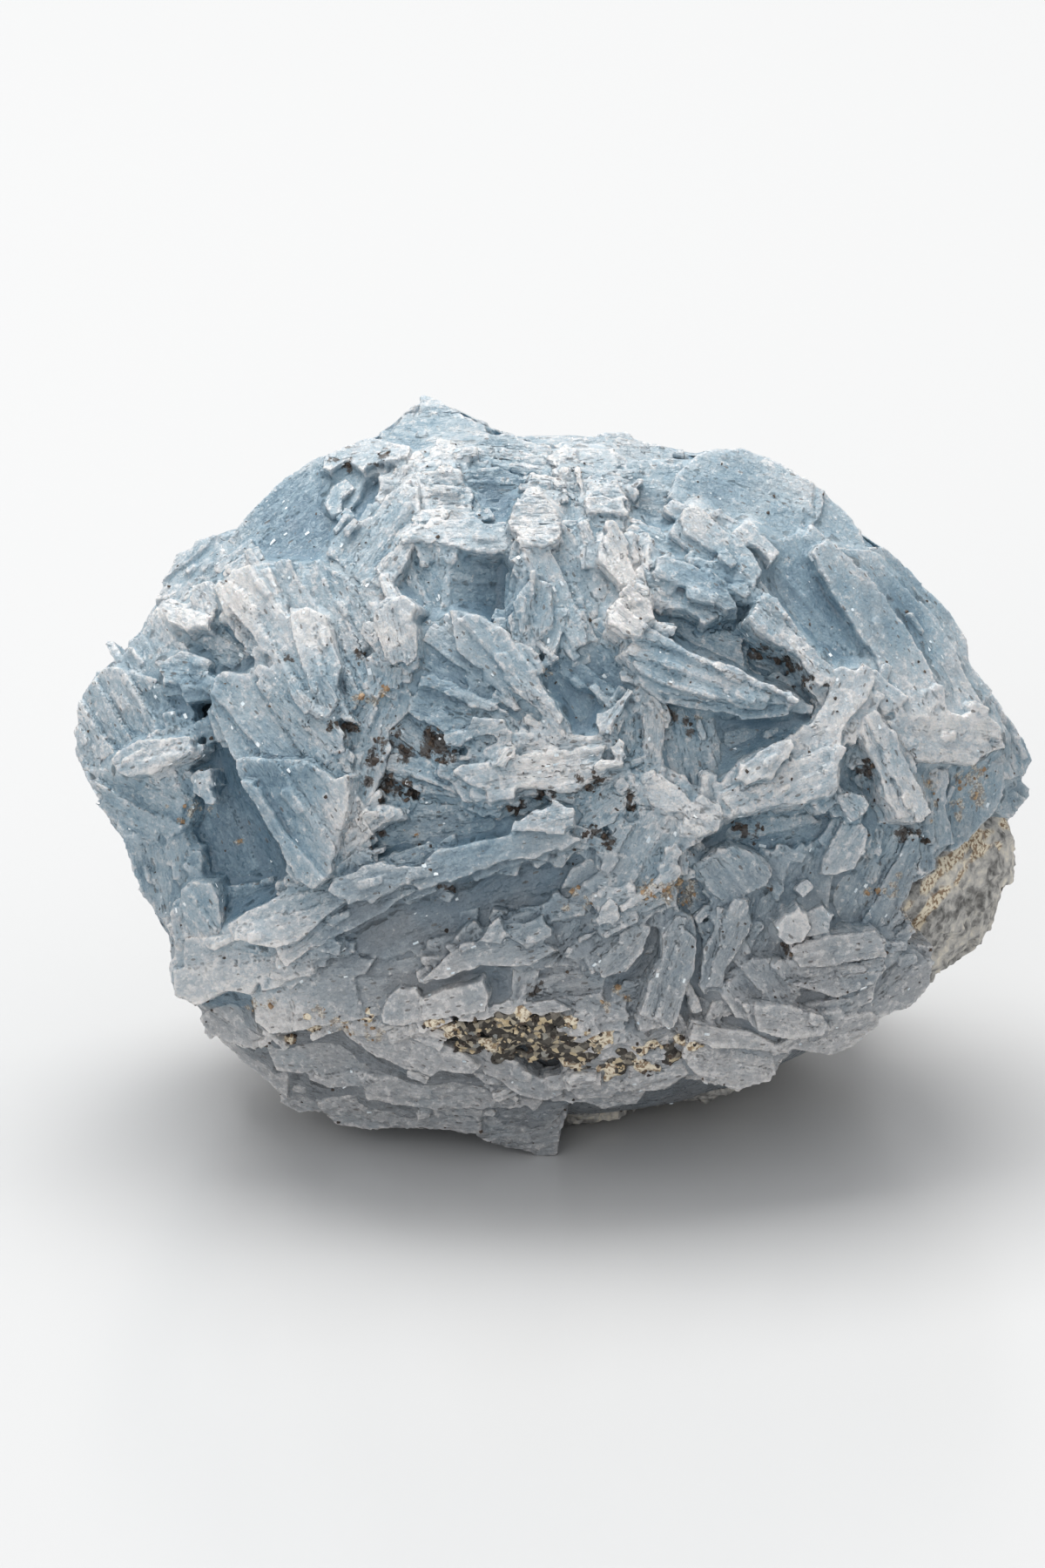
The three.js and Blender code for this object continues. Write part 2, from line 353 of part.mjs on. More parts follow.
const centre = [
  [0.9, 190, 5, [-10, 8.6, -9.9, 11, -7.8, 11.8, -5.6, 11.2, -4, 9.6, -3, 7.6, -4.8, 5, -9, 5.4,
    -10.6, 7]],
  [1.7, 215, 8, [-7.6, 12, -5.2, 11.6, -3.4, 10.4, -2, 8.4, 0.2, 5.4, 1.1, 3.6, 0.4, 3.4,
    -1.6, 5, -4.4, 7, -7, 9]],
  [1.2, 210, 6, [-10.8, 7.4, -8.6, 7.4, -4.6, 5.4, -1.6, 3.2, -4, 2.8, -8, 3, -11.2, 5]],
  [1.9, 230, 10, [-6.6, 3.2, -5.8, 4.2, -3.6, 4, -3, 3, -4.2, 2.6, -5.4, 2.8, -6.6, 2.2,
    -7.8, 2.2, -8, 2.8]],
  [0, 215, 8, [-12.2, 5, -9, 4.2, -6, 2.6, -7.6, 0, -10.6, -1.2, -12.4, 0.6]],
  [0.5, 225, 8, [-12, 1.8, -9.4, 1.2, -7.4, 0, -5.6, -0.6, -6, -2, -9.4, -1.4, -12, -0.2]],
  [-0.4, 250, 8, [-13, -1.6, -6.6, -2, -3, -3.2, -3, -4.6, -9, -5, -12.8, -6.6, -14.2, -4]],
  [1.4, 140, 10, [-15.6, -4.6, -14.8, -3.8, -13, -2.2, -11.2, -2.4, -10.8, -3.2, -12.4, -3.6,
    -14, -4.4, -15.2, -5.8]],
  [1.6, 100, 10, [-7.3, 0.2, -5.4, 1.6, -3.4, 1.8, -2.2, 2.6, 1, 2.9, 3.2, 2.9, 4.6, 2.4,
    5, 1, 3.5, 0, 1.8, -1, 0.4, -1.2, -2.2, -0.9, -4, -1.6, -5.2, -1]],
  [1.1, 250, 6, [1.2, -2, 2.2, -1.3, 3.6, -0.5, 5, 0.3, 6.3, 0, 6.6, -0.9, 5.4, -1.5, 5.1, -2.6,
    4.4, -3.4, 3, -4.1, 1.8, -4]],
  [-0.2, 240, 6, [-3.2, -1.4, -0.6, -1, 1.2, -2, 1.8, -4, -3, -4]],
  [0.3, 20, 6, [0.4, 9.9, 2.8, 11.4, 4.6, 11.6, 7, 8, 5.6, 6, 4, 5.6, 2, 6.2, 0.4, 7.4]],
  [0.2, 350, 6, [-0.6, 9.6, 1, 9, 1.2, 6.6, 3.6, 5.8, 3.4, 3, 1, 3, 0, 5.6, -1.4, 7.4]],
  [2.1, 120, 12, [3, 3.9, 3.2, 4.6, 4.6, 5.4, 5.4, 6.3, 6, 6, 5.1, 5, 4.6, 4.2, 4.2, 3.1,
    3.3, 3]],
  [0.4, 350, 8, [4.4, 3.4, 5, 4.9, 6, 6, 8, 5, 8.1, 3.5, 8, 2, 8.1, 0.9, 7.4, 0, 6.2, 0,
    4.8, 0.6]],
  [1.5, 100, 8, [6.5, -1.4, 7.2, -0.4, 8, 0, 9.2, -0.8, 10.3, -2, 10, -2.9, 8, -2.7, 7, -2.1]],
  [0.9, 285, 8, [3.1, -5.8, 3.9, -4.5, 4.7, -3.5, 6, -2.5, 8, -2.6, 9.3, -3, 8.6, -4.8, 8.3, -6,
    7.9, -7.5, 7, -8.6, 5.4, -9.5, 4.7, -9.2, 4.4, -8, 3.3, -7]],
  [1.7, 330, 10, [8.1, -5.1, 9, -4.9, 9.6, -5.7, 9, -6.4, 8.8, -7.2, 8.3, -7.9, 7, -8.9,
    5.6, -9.8, 4.9, -10.4, 4.8, -9.5, 6.5, -8.4, 7.7, -7.3]],
  [1.9, 60, 10, [9.3, -3.4, 9.9, -1.9, 11, -1.6, 12.2, -2.1, 12.4, -3.3, 12, -4.1, 10.4, -4.5,
    9.2, -4.3]],
];

const rightBars = [
  [1.5, 60, 10, [9.3, 18.6, 9.6, 19.5, 10.2, 19.7, 11.5, 19, 14.5, 16.4, 15.3, 14.8, 14.6, 13.6,
    13.4, 14.9, 11.5, 16.4, 9.6, 17.6]],
  [1.1, 80, 10, [8.5, 17.6, 8.8, 18.4, 9.5, 18.5, 11, 17.4, 12.8, 16, 13.6, 14.8, 12.6, 14.4,
    11, 15.7, 9, 17.2]],
  [0.2, 90, 10, [5.2, 17.6, 5.8, 18.7, 7.5, 18.2, 9, 17.3, 11.2, 15.8, 10.6, 14.8, 8.3, 16,
    6.5, 16.9]],
  [1.9, 70, 10, [7.2, 14.9, 7.5, 15.9, 8.1, 16.1, 9.4, 15.6, 11, 14.8, 12.9, 13.4, 13.7, 12,
    12.4, 11.9, 11, 12.9, 9, 13.9, 7.4, 14.4]],
  [1.3, 80, 10, [7.2, 13.3, 7.8, 14.2, 8.4, 14.1, 10, 13.5, 11.1, 13, 12.2, 11.4, 11, 11,
    9, 12.1, 7.6, 12.7]],
  [1.5, 60, 8, [13.1, 17.8, 14.1, 18.7, 14.8, 18.3, 16.6, 16.3, 15.8, 15.5, 14.6, 16.8,
    13.8, 17]],
  [-0.8, 60, 8, [6.8, 12.8, 7.5, 11, 9, 9.9, 11.4, 8.7, 14.4, 7.6, 14.4, 9.6, 14.6, 11.6,
    13.6, 13, 11, 11.8, 8.4, 12.6]],
  [3, 60, 8, [4, 12.1, 4.6, 12.8, 6, 13.2, 6.8, 13, 7.2, 12.3, 7.5, 11.2, 6.4, 10, 5, 10.3,
    4, 11]],
  [2.3, 55, 8, [6.6, 11.4, 8.3, 10, 10.5, 8.8, 13, 7.8, 15.5, 6.7, 17.3, 6, 17.8, 5.4, 17.2, 5,
    14, 5.1, 11.8, 5.6, 10, 6, 8, 6.6, 6, 7.8, 5, 9, 5, 10.6]],
  [1.3, 280, 8, [8.3, 5.2, 8.6, 6.6, 11.5, 5.8, 14.5, 5.3, 17.6, 5, 17.1, 4.4, 14, 4, 11.6, 4.6]],
  [-0.9, 60, 10, [7.4, 11.2, 11, 9, 14, 7.6, 17, 7.2, 20.2, 6.2, 18.6, 5, 15, 6.2, 11, 8]],
  [1.6, 40, 10, [14.9, 13.7, 15.4, 13.6, 16.3, 12.5, 17, 11, 18.1, 10.1, 19.2, 9, 20.3, 8,
    20.8, 7.2, 20.3, 6.3, 18.6, 7.4, 17.8, 8.6, 16.5, 9.4, 14.6, 10.6, 14, 11.3, 14.8, 12.5]],
  [-2.8, 300, 8, [13.2, 8, 14, 9.6, 15.4, 10.4, 17, 9.6, 19, 7.8, 19.6, 6, 18.2, 6.2, 16, 7]],
];

const rightDome = [
  [-0.4, 75, 8, [9, 22, 10.4, 23.4, 11.3, 23.8, 13.8, 24.1, 16, 23.4, 17.6, 22.4, 19, 21.6,
    20.1, 21, 19.6, 19, 18, 17, 16, 16, 14, 17.8, 12, 19, 10, 19.6, 8.4, 20.6]],
  [-0.4, 50, 8, [20.1, 21, 21.2, 19.8, 22.2, 18.7, 22.7, 18.1, 23.2, 16.7, 22.6, 16, 20.8, 16.2,
    20, 17.2, 18.8, 17.6, 18.2, 19, 19, 20.8]],
  [-0.5, 50, 4, [13.8, 18.6, 16.2, 17.2, 18, 17.8, 19.2, 16.9, 19.8, 15, 21.2, 12.8, 22.6, 10.5,
    24, 8.6, 24.2, 6.8, 21, 7.6, 18.4, 10, 16.4, 12.2, 15.2, 14]],
  [0.9, 40, 6, [19, 16.2, 19.4, 16.9, 20.1, 17.4, 20.9, 16.9, 22, 15.8, 24.5, 13, 27.1, 9,
    28.6, 6, 27.5, 4, 26, 4.2, 24.4, 6.2, 23.7, 8.4, 22, 11, 20.4, 13.4, 19.5, 15]],
  [0.1, 40, 8, [20.6, 16.9, 22.5, 16.6, 23.4, 16.6, 24.6, 15.2, 26.2, 13.6, 28.2, 11.6,
    29.4, 9.6, 30.2, 7.5, 31.6, 5.2, 30, 3.8, 28.4, 5.4, 26.8, 8.6, 24.2, 12.6]],
  [-0.8, 35, 10, [23.2, 16.7, 24.3, 16.8, 25.7, 15.7, 27.1, 14.2, 28.5, 12.8, 29.5, 11.7,
    30.5, 10, 30.6, 8.7, 31.5, 7.2, 32.4, 6.2, 31.2, 4.6, 29.6, 7.4, 28.6, 9.8, 27, 12,
    24.6, 14.4]],
  [1.6, 350, 6, [24.8, 5.4, 26, 4.3, 28.5, 4.6, 30, 4.3, 31.4, 5, 33, 3.4, 33.4, 2, 31.9, 1.6,
    31, 0.8, 29, 1, 26.8, 1.1, 26.1, 1.8, 25.4, 2.3, 24.6, 3.6, 24, 4.5]],
  [-1.2, 10, 8, [31.2, 5.2, 32.4, 6.2, 33.9, 3.9, 34.9, 2.1, 35.4, 1.1, 34.7, -0.2, 33, -0.3,
    31.6, 1, 31.8, 3]],
  [-1.8, 340, 8, [33, -0.2, 34.7, -0.1, 35.2, -1, 35.2, -1.6, 34, -2.9, 33.2, -3.1, 32.4, -2.4,
    32.4, -1]],
];

const rightFront = [
  [2, 150, 8, [20.2, 7.6, 21, 8, 22, 7.6, 22.6, 8.3, 23.4, 7.7, 23.5, 6.9, 22.8, 5.4, 22, 4.5,
    21.2, 3.4, 20.6, 1.2, 20, -0.6, 18.8, -0.6, 18.2, 2.6, 19.4, 4.8, 20.2, 6.3]],
  [1.7, 100, 12, [11.9, -2, 11.8, -0.7, 12.6, 0.1, 13.5, 1.1, 15, 1.9, 17, 2.7, 18.2, 3.7,
    19.8, 3.6, 20.9, 1, 20.8, -0.8, 20, -1.6, 18.3, -2, 16.5, -2.1, 15, -2.5, 13, -3, 12, -2.8]],
  [2.7, 95, 8, [13.3, -0.2, 13.6, 0.9, 14.9, 1.7, 16, 2.3, 17.3, 2.6, 17.6, 2, 17.2, 1.2,
    16.5, 0.6, 16, -0.2, 14, -0.7]],
  [-2, 100, 8, [11.6, 4.6, 14, 4.2, 16, 4.8, 19, 5.2, 19, 2.8, 16, 1.4, 12.5, 0, 11.8, 2]],
  [-1.6, 170, 6, [7.8, 5.4, 10, 5.3, 11.8, 4.8, 11.6, 1.6, 12.2, 0, 11.4, -1.4, 9, -1, 7.8, 0.6]],
  [-0.6, 0, 10, [10.6, 3, 11.4, 3.8, 11.8, 3.6, 12.2, 2.4, 12.5, 0.4, 11.6, 0.1, 11, 1.4]],
  [-1.4, 300, 6, [10.4, -4.2, 12.5, -3, 15, -2.5, 17, -2, 19, -1.8, 20.6, -2.4, 20.4, -4.9,
    18.4, -5.2, 16.2, -5.4, 15.6, -6.8, 12.8, -6, 9.6, -6]],
  [0.5, 280, 5, [10.4, -6.6, 12, -5.4, 13, -5.1, 14.5, -5.6, 15.8, -6.5, 16, -7.3, 15.5, -8.1,
    14, -8.7, 12.4, -9.2, 11, -8.2]],
  [1, 260, 5, [10.3, -10, 11.2, -8.9, 12.8, -8.7, 14, -8.9, 14.4, -9.8, 14.6, -10.9, 13.8, -11.7,
    12.2, -11.8, 10.8, -11.2]],
  [-1, 270, 6, [9.2, -6, 10.6, -7, 11.6, -9, 11, -12, 13.6, -12.4, 15.2, -13, 14.6, -16,
    10.2, -16, 9.4, -12, 8.6, -8.4]],
  [-0.8, 300, 6, [14.2, -9, 16, -8.4, 16.4, -6.6, 18, -5, 20.4, -4.6, 20.6, -7, 20.2, -9.4,
    20, -12, 18.6, -14.6, 15, -14.4, 14.4, -11.8]],
  [1.6, 250, 8, [16.1, -11, 17, -10.2, 18, -9.7, 18.6, -10.2, 18.8, -11.2, 18.2, -12.1,
    17, -12.4, 16.4, -11.8]],
  [0.9, 110, 8, [18.3, -10.2, 19.8, -9.5, 20.6, -10.2, 20.2, -11.6, 18.5, -11.9]],
  [1.3, 100, 8, [20.6, -1.5, 21, -2.5, 21.6, -3.4, 22.5, -3.3, 23.1, -2.2, 22.7, -1.4,
    21.6, -1.1]],
  [0.8, 150, 8, [21, -3.4, 22.3, -3.4, 23.1, -4.4, 22.7, -5.7, 22, -6.9, 20.8, -7.2, 19.5, -7.2,
    19.7, -6, 20.4, -4.6]],
  [-0.8, 270, 6, [20.6, -0.6, 21.5, 0.7, 22.5, 1, 24, 0.2, 24.4, -3, 24, -6, 22.8, -6.6,
    22, -3, 20.6, -3]],
  [0.1, 200, 8, [20.6, 0.6, 21, 2.4, 21.8, 3.9, 22.8, 5.2, 23.6, 4, 23.4, 0.6, 21.6, 0.3]],
  [2, 30, 8, [22.8, 5, 23.6, 4.6, 24.6, 3.4, 25.6, 1.4, 26.9, -0.9, 27.6, -2.6, 26.8, -3.4,
    25.1, -3.2, 24.4, -2, 24, -0.4, 23.1, 1.6, 22.4, 3.2]],
  [-0.5, 340, 6, [25.6, 1.8, 27.4, 1.2, 29, 0.9, 29, -0.5, 28.8, -2, 29.3, -5, 28, -6.9,
    26.4, -8.1, 26, -6, 26.4, -3.4, 26.8, -1]],
  [-1.2, 200, 6, [24, -3, 26.6, -3.2, 27, -6, 26.3, -8.4, 25.4, -10.4, 24.4, -12.4, 21, -12.6,
    20, -9.6, 21, -6.6, 23.6, -5.4]],
  [-0.7, 250, 6, [16.4, -13.4, 18.8, -12, 20.4, -11.4, 24.6, -12.2, 23.4, -16.6, 20, -19,
    15, -20, 12.6, -17.2, 14, -14.4]],
  [-1.4, 350, 8, [28.8, 1.4, 31.4, 1.4, 33.2, 1, 33.3, -1, 32.4, -2.9, 30.6, -4.9, 29.2, -5.6,
    28.8, -2]],
];

const frontRows = [
  ...crown, ...crownMiddle, ...blueHollow, ...leftFan, ...farLeft, ...longBlades, ...frontLedge,
  ...underside, ...centre, ...rightBars, ...rightDome, ...rightFront,
];

// ---- the blades of the sides and back -----------------------------------------------------
// They radiate over the rear of the dome in whorls, each with six corners.

const rear = {
  count: 46,
  firstTurn: 1,                 // where the spiral of blades starts, in radians
  radii: [30.5, 24.5, 20.5],    // the shell that their roots stand on
  length: [11, 17],
  width: [6, 10],
  endShare: [0.3, 0.75],        // how blunt the first end of a face is
  depth: 5,
  standing: [0.7, 2.2],         // how far their faces stand above the shell
  leaning: 24,                  // how far a face may lean off the shell
  lowest: 7.5,                  // no blade grows lower than this above the surface
};

// A settled value from 0 to 1 for each index and salt, without order.
function wave(index, salt) {
  const value = Math.sin(index * 12.9898 + salt * 78.233) * 43758.5453;
  return value - Math.floor(value);
}

const between = ([low, high], share) => low + (high - low) * share;

function rearPlace(index) {
  const goldenTurn = Math.PI * (3 - Math.sqrt(5));
  const back = (index + 0.5) / rear.count;
  const ring = Math.sqrt(1 - back * back);
  const angle = rear.firstTurn + index * goldenTurn;
  return new THREE.Vector3(
    ring * Math.cos(angle),
    ring * Math.sin(angle),
    -back,
  ).multiply(new THREE.Vector3(...rear.radii));
}

const growsClear = (index) => rearPlace(index).applyMatrix4(leaning).z > rear.lowest;

function rearBlade(index) {
  const place = rearPlace(index);
  const [a, b, c] = rear.radii;
  const normal = new THREE.Vector3(place.x / a ** 2, place.y / b ** 2, place.z / c ** 2);
  normal.normalize();
  const whorl = new THREE.Vector3(Math.sin(index * 0.9), Math.cos(index * 1.7), 0.4).normalize();
  const along = whorl.addScaledVector(normal, -whorl.dot(normal)).normalize();
  const across = new THREE.Vector3().crossVectors(normal, along);
  const leanBack = radians((wave(index, 1) - 0.5) * 2 * rear.leaning);
  const facing = normal.clone().applyAxisAngle(along, leanBack);
  const side = across.clone().applyAxisAngle(along, leanBack);
  const long = between(rear.length, wave(index, 2)) / 2;
  const wide = between(rear.width, wave(index, 3)) / 2;
  const blunt = between(rear.endShare, wave(index, 4));
  const flat = [
    [-long, -wide * blunt], [-long * 0.7, -wide], [long * 0.8, -wide], [long, -wide * 0.2],
    [long * 0.75, wide], [-long * 0.85, wide * 0.9],
  ].map(([x, y]) => new THREE.Vector2(x, y));
  const middle = place.addScaledVector(normal, between(rear.standing, wave(index, 5)));
  const face = flat.map((p) => middle.clone().addScaledVector(along, p.x)
    .addScaledVector(side, p.y));
  const root = face.map((p) => p.clone().sub(middle).multiplyScalar(rootTaper)
    .add(middle).addScaledVector(facing, -rear.depth));
  const placed = (points) => points.map((p) => p.clone().applyMatrix4(leaning));
  return blockSolid(placed(face), placed(root), flat);
}

// ---- the core and the host rock -----------------------------------------------------------

function coreSolid() {
  const geometry = new THREE.IcosahedronGeometry(1, 2);
  geometry.scale(...coreRadii);
  geometry.applyMatrix4(leaning);
  return solidOf(geometry);
}

// Lumps of the rock: centre and half sizes.
const rockLumps = [
  [[2, 2, 7.4], [17.5, 15.2, 9]],
  [[0, -5.5, 10.8], [11, 12.4, 4.4]],
  [[19.5, -1.8, 18.6], [13.9, 13, 10]],
  [[4, 9.5, 10.4], [21, 13.4, 11.4]],
  [[-11, 5, 10.5], [13.5, 12.5, 9.6]],
];
const rockRoughness = 0.08;    // share of its half size by which a lump's corners go in and out

function lumpSolid([centre, radii], extra, salt) {
  const geometry = new THREE.IcosahedronGeometry(1, 1);
  const position = geometry.attributes.position;
  const point = new THREE.Vector3();
  for (let i = 0; i < position.count; i += 1) {
    point.fromBufferAttribute(position, i);
    const key = Math.round(point.x * 97) + Math.round(point.y * 57) * 3 + Math.round(point.z * 31) * 7;
    const rough = 1 + rockRoughness * (wave(key, salt) - 0.5) * 2;
    point.set(
      centre[0] + point.x * (radii[0] * rough + extra),
      centre[1] + point.y * (radii[1] * rough + extra),
      centre[2] + point.z * (radii[2] * rough + extra),
    );
    position.setXYZ(i, point.x, point.y, point.z);
  }
  return solidOf(geometry);
}

const rockSolid = (extra) => joined(rockLumps.map((lump, i) => lumpSolid(lump, extra, i + 1)));

function slabBelow(top) {
  const geometry = new THREE.BoxGeometry(200, 200, 60);
  geometry.translate(0, 0, top - 30);
  return solidOf(geometry);
}

// ---- the finished pieces ------------------------------------------------------------------

const crystals = joined([
  coreSolid(),
  ...frontRows.map(frontBlade),
  ...Array.from({ length: rear.count }, (unused, i) => i).filter(growsClear).map(rearBlade),
]);
const crystalFloor = 0.4;       // the lowest crystals stop just above the surface
const bladeSolid = crystals.subtract(rockSolid(rockGap)).subtract(slabBelow(crystalFloor));
const hostSolid = rockSolid(0).subtract(slabBelow(0));

function piece(name, solid, colour, roughness) {
  const material = new THREE.MeshStandardMaterial({ color: colour, roughness, metalness: 0 });
  const mesh = new THREE.Mesh(geometryOf(solid), material);
  mesh.name = name;
  return mesh;
}

const specimen = new THREE.Group();
specimen.add(piece('baryte_blades', bladeSolid, 0xa3bccb, 0.5));
specimen.add(piece('host_rock', hostSolid, 0x8a857a, 0.9));

export default specimen;
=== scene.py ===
import functools
import math
import random
import bmesh
import bpy
import numpy as np
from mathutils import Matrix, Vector
from mathutils.bvhtree import BVHTree


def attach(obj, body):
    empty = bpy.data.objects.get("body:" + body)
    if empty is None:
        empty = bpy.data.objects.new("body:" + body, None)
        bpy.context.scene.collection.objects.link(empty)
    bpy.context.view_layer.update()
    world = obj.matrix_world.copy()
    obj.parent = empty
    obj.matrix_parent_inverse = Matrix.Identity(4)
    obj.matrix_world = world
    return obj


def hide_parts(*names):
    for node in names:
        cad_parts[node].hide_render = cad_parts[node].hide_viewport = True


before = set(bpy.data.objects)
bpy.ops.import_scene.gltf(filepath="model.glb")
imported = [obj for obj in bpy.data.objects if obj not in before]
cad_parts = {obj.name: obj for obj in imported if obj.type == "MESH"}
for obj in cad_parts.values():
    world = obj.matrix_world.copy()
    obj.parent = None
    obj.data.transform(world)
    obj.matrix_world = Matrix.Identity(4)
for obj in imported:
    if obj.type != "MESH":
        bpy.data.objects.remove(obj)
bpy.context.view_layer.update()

# A domed cluster of pale-blue baryte blades on its host rock. Sizes are in millimetres and
# angles in degrees until a mesh is made, and meshes are in metres.
mm = 0.001

layout = {              # the frame that the dome is laid out in: u right, v up, w out of it
    "lean": 22,         # how far it leans back
    "halfWidth": 36.5,
    "halfHeight": 29,
    "rise": 20,
    "centre": (-0.3, -0.5, 25.1),
    "slopeShare": 0.7,  # share of the dome's own slope that a face takes up
    "steepest": 1.3,
    "rimInside": 0.03,
    "rimHeight": 7,
}
leanSin, leanCos = math.sin(math.radians(layout["lean"])), math.cos(math.radians(layout["lean"]))
leanAxes = np.array(((1, 0, 0), (0, leanSin, leanCos), (0, -leanCos, leanSin)))
core = {                # the mass between the blades' roots, and its wider part at the rim
    "radii": (32.2, 25.2, 17.3),
    "rimRadii": (33.6, 26, 9.5),
    "rimDrop": 2.2,
    "divisions": 5,
    "hidden": (0.96, 0.97, 0.95),    # share of its radii inside which blades, rear and rock hide
}


def upright(points):
    return np.asarray(points, float) @ leanAxes + layout["centre"]


def leaning(points):
    return (np.asarray(points, float) - layout["centre"]) @ leanAxes.T


def domeHeight(u, v):
    inside = 1 - (u / layout["halfWidth"]) ** 2 - (v / layout["halfHeight"]) ** 2
    return layout["rise"] * np.sqrt(np.maximum(layout["rimInside"], inside))


def domeSlope(u, v):
    factor = -layout["rise"] ** 2 / max(float(domeHeight(u, v)), layout["rimHeight"])
    return np.array((factor * u / layout["halfWidth"] ** 2, factor * v / layout["halfHeight"] ** 2))


# Noise on points.

def cellValue(cells, seed):
    mixed = (cells[:, 0] * 73856093) ^ (cells[:, 1] * 19349663) ^ (cells[:, 2] * 83492791)
    mixed = (mixed ^ (seed * 2654435761)) & 0x7fffffff
    mixed = ((mixed ^ (mixed >> 13)) * 1274126177) & 0x7fffffff
    mixed = ((mixed ^ (mixed >> 16)) * 668265263) & 0x7fffffff
    return ((mixed >> 7) & 0xffff) / 65535


def softNoise(points, size, seed):      # -1 to 1, in lumps of the given size
    at = points / size
    cell = np.floor(at).astype(np.int64)
    part = at - cell
    part = part * part * (3 - 2 * part)
    total = np.zeros(len(points))
    for corner in np.ndindex(2, 2, 2):
        weight = np.prod(np.where(corner, part, 1 - part), axis=1)
        total += weight * cellValue(cell + corner, seed)
    return total * 2 - 1


def lathNoise(growth, size, seed):       # -1 to 1, one value to each broken lath of the size
    at = growth / size
    row = np.floor(at[:, 1:]).astype(np.int64)
    shift = cellValue(np.column_stack((row, row[:, 0] + 5)), seed) * 9
    cells = np.column_stack((np.floor(at[:, 0] + shift).astype(np.int64), row))
    return cellValue(cells, seed + 1) * 2 - 1


def facetNoise(points, size, seed):      # small flat facets, each tilted its own way
    at = points / size
    cell = np.floor(at).astype(np.int64)
    nearest = np.full(len(points), 1e9)
    value = np.zeros(len(points))
    for corner in np.ndindex(3, 3, 3):
        here = cell + (np.array(corner) - 1)
        middle = here + np.column_stack([cellValue(here, seed + k) for k in range(3)])
        offset = at - middle
        distance = np.einsum("ij,ij->i", offset, offset)
        tilt = np.column_stack([cellValue(here, seed + 3 + k) for k in range(3)]) - 0.5
        height = np.einsum("ij,ij->i", offset, tilt) + 0.35 * (cellValue(here, seed + 6) - 0.5)
        closer = distance < nearest
        nearest = np.where(closer, distance, nearest)
        value = np.where(closer, height, value)
    return value


# Blades as closed blocks.

def newHeap():
    return {"points": [], "faces": [], "owners": [], "frames": []}


def addBlock(heap, face, root, owner):
    start, count = len(heap["points"]), len(face)
    heap["points"].extend(map(tuple, upright(face)))
    heap["points"].extend(map(tuple, upright(root)))
    ring = range(start, start + count)
    heap["faces"].append(tuple(ring))
    heap["faces"].append(tuple(i + count for i in reversed(ring)))
    for i in range(count):
        j = (i + 1) % count
        heap["faces"].append((start + i, start + count + i, start + count + j, start + j))
    heap["owners"].extend([owner] * (count + 2))


def addFrame(heap, face, middle, along, rng):
    long3 = along[0] * face.stepX + along[1] * face.stepY
    long3 = long3 / np.linalg.norm(long3)
    axes = np.array((long3, np.cross(face.normal, long3), face.normal)) @ leanAxes
    heap["frames"].append((upright(face.at(middle[None, :])[0]), axes, rng.uniform(-1, 1)))
    return len(heap["frames"]) - 1


def areaOf(ring):
    x, y = ring[:, 0], ring[:, 1]
    return 0.5 * float(np.sum(x * np.roll(y, -1) - y * np.roll(x, -1)))


def cutRing(ring, normal, limit):       # keeps the side where normal . p is below the limit
    side = ring @ normal - limit
    kept = []
    for i in range(len(ring)):
        before, here = side[i - 1], side[i]
        if (before < 0) != (here < 0):
            kept.append(ring[i - 1] + (ring[i] - ring[i - 1]) * before / (before - here))
        if here < 0:
            kept.append(ring[i])
    return np.array(kept)


def stepped(ring, reach, depth, rng):   # cleavage steps along each edge of a ring
    out = []
    for i in range(len(ring)):
        start, end = ring[i], ring[(i + 1) % len(ring)]
        length = math.dist(start, end)
        out.append(start)
        if length < reach[0] * 1.5:
            continue
        along = (end - start) / length
        outward = np.array((along[1], -along[0]))
        at = rng.uniform(*reach) * 0.5
        while at < length - reach[0] * 0.4:
            nextAt = min(at + rng.uniform(*reach), length - reach[0] * 0.2)
            step = outward * rng.uniform(-depth, depth * 0.45)
            out.append(start + along * at + step)
            out.append(start + along * nextAt + step)
            at = nextAt + 0.02
    return np.array(out)


def principalAxis(ring):
    dense = np.concatenate([ring + (np.roll(ring, -1, axis=0) - ring) * k / 8 for k in range(8)])
    lengths = np.linalg.norm(np.roll(ring, -1, axis=0) - ring, axis=1)
    weights = np.tile(lengths, 8)
    middle = np.average(dense, axis=0, weights=weights)
    offset = dense - middle
    spread = (offset * weights[:, None]).T @ offset / weights.sum()
    values, vectors = np.linalg.eigh(spread)
    return vectors[:, 1], math.sqrt(values[1] / max(values[0], 1e-9))


class Face:                              # a blade's face: a flat frame that takes 2-D rings
    def __init__(self, origin, stepX, stepY):
        self.origin, self.stepX, self.stepY = map(np.asarray, (origin, stepX, stepY))
        self.normal = np.cross(self.stepX, self.stepY)
        self.normal = self.normal / np.linalg.norm(self.normal)

    def at(self, ring, rise=0.0, tilt=(0.0, 0.0), about=(0.0, 0.0)):
        lift = rise + (ring - np.asarray(about)) @ np.asarray(tilt)
        return (self.origin + ring[:, :1] * self.stepX + ring[:, 1:] * self.stepY
                + lift[:, None] * self.normal)


def addSlab(heap, face, ring, rise, tilt, about, depth, owner, taper=1.0):
    top = face.at(ring, rise, tilt, about)
    middle = top.mean(axis=0)
    addBlock(heap, top, (top - middle) * taper + middle - face.normal * depth, owner)


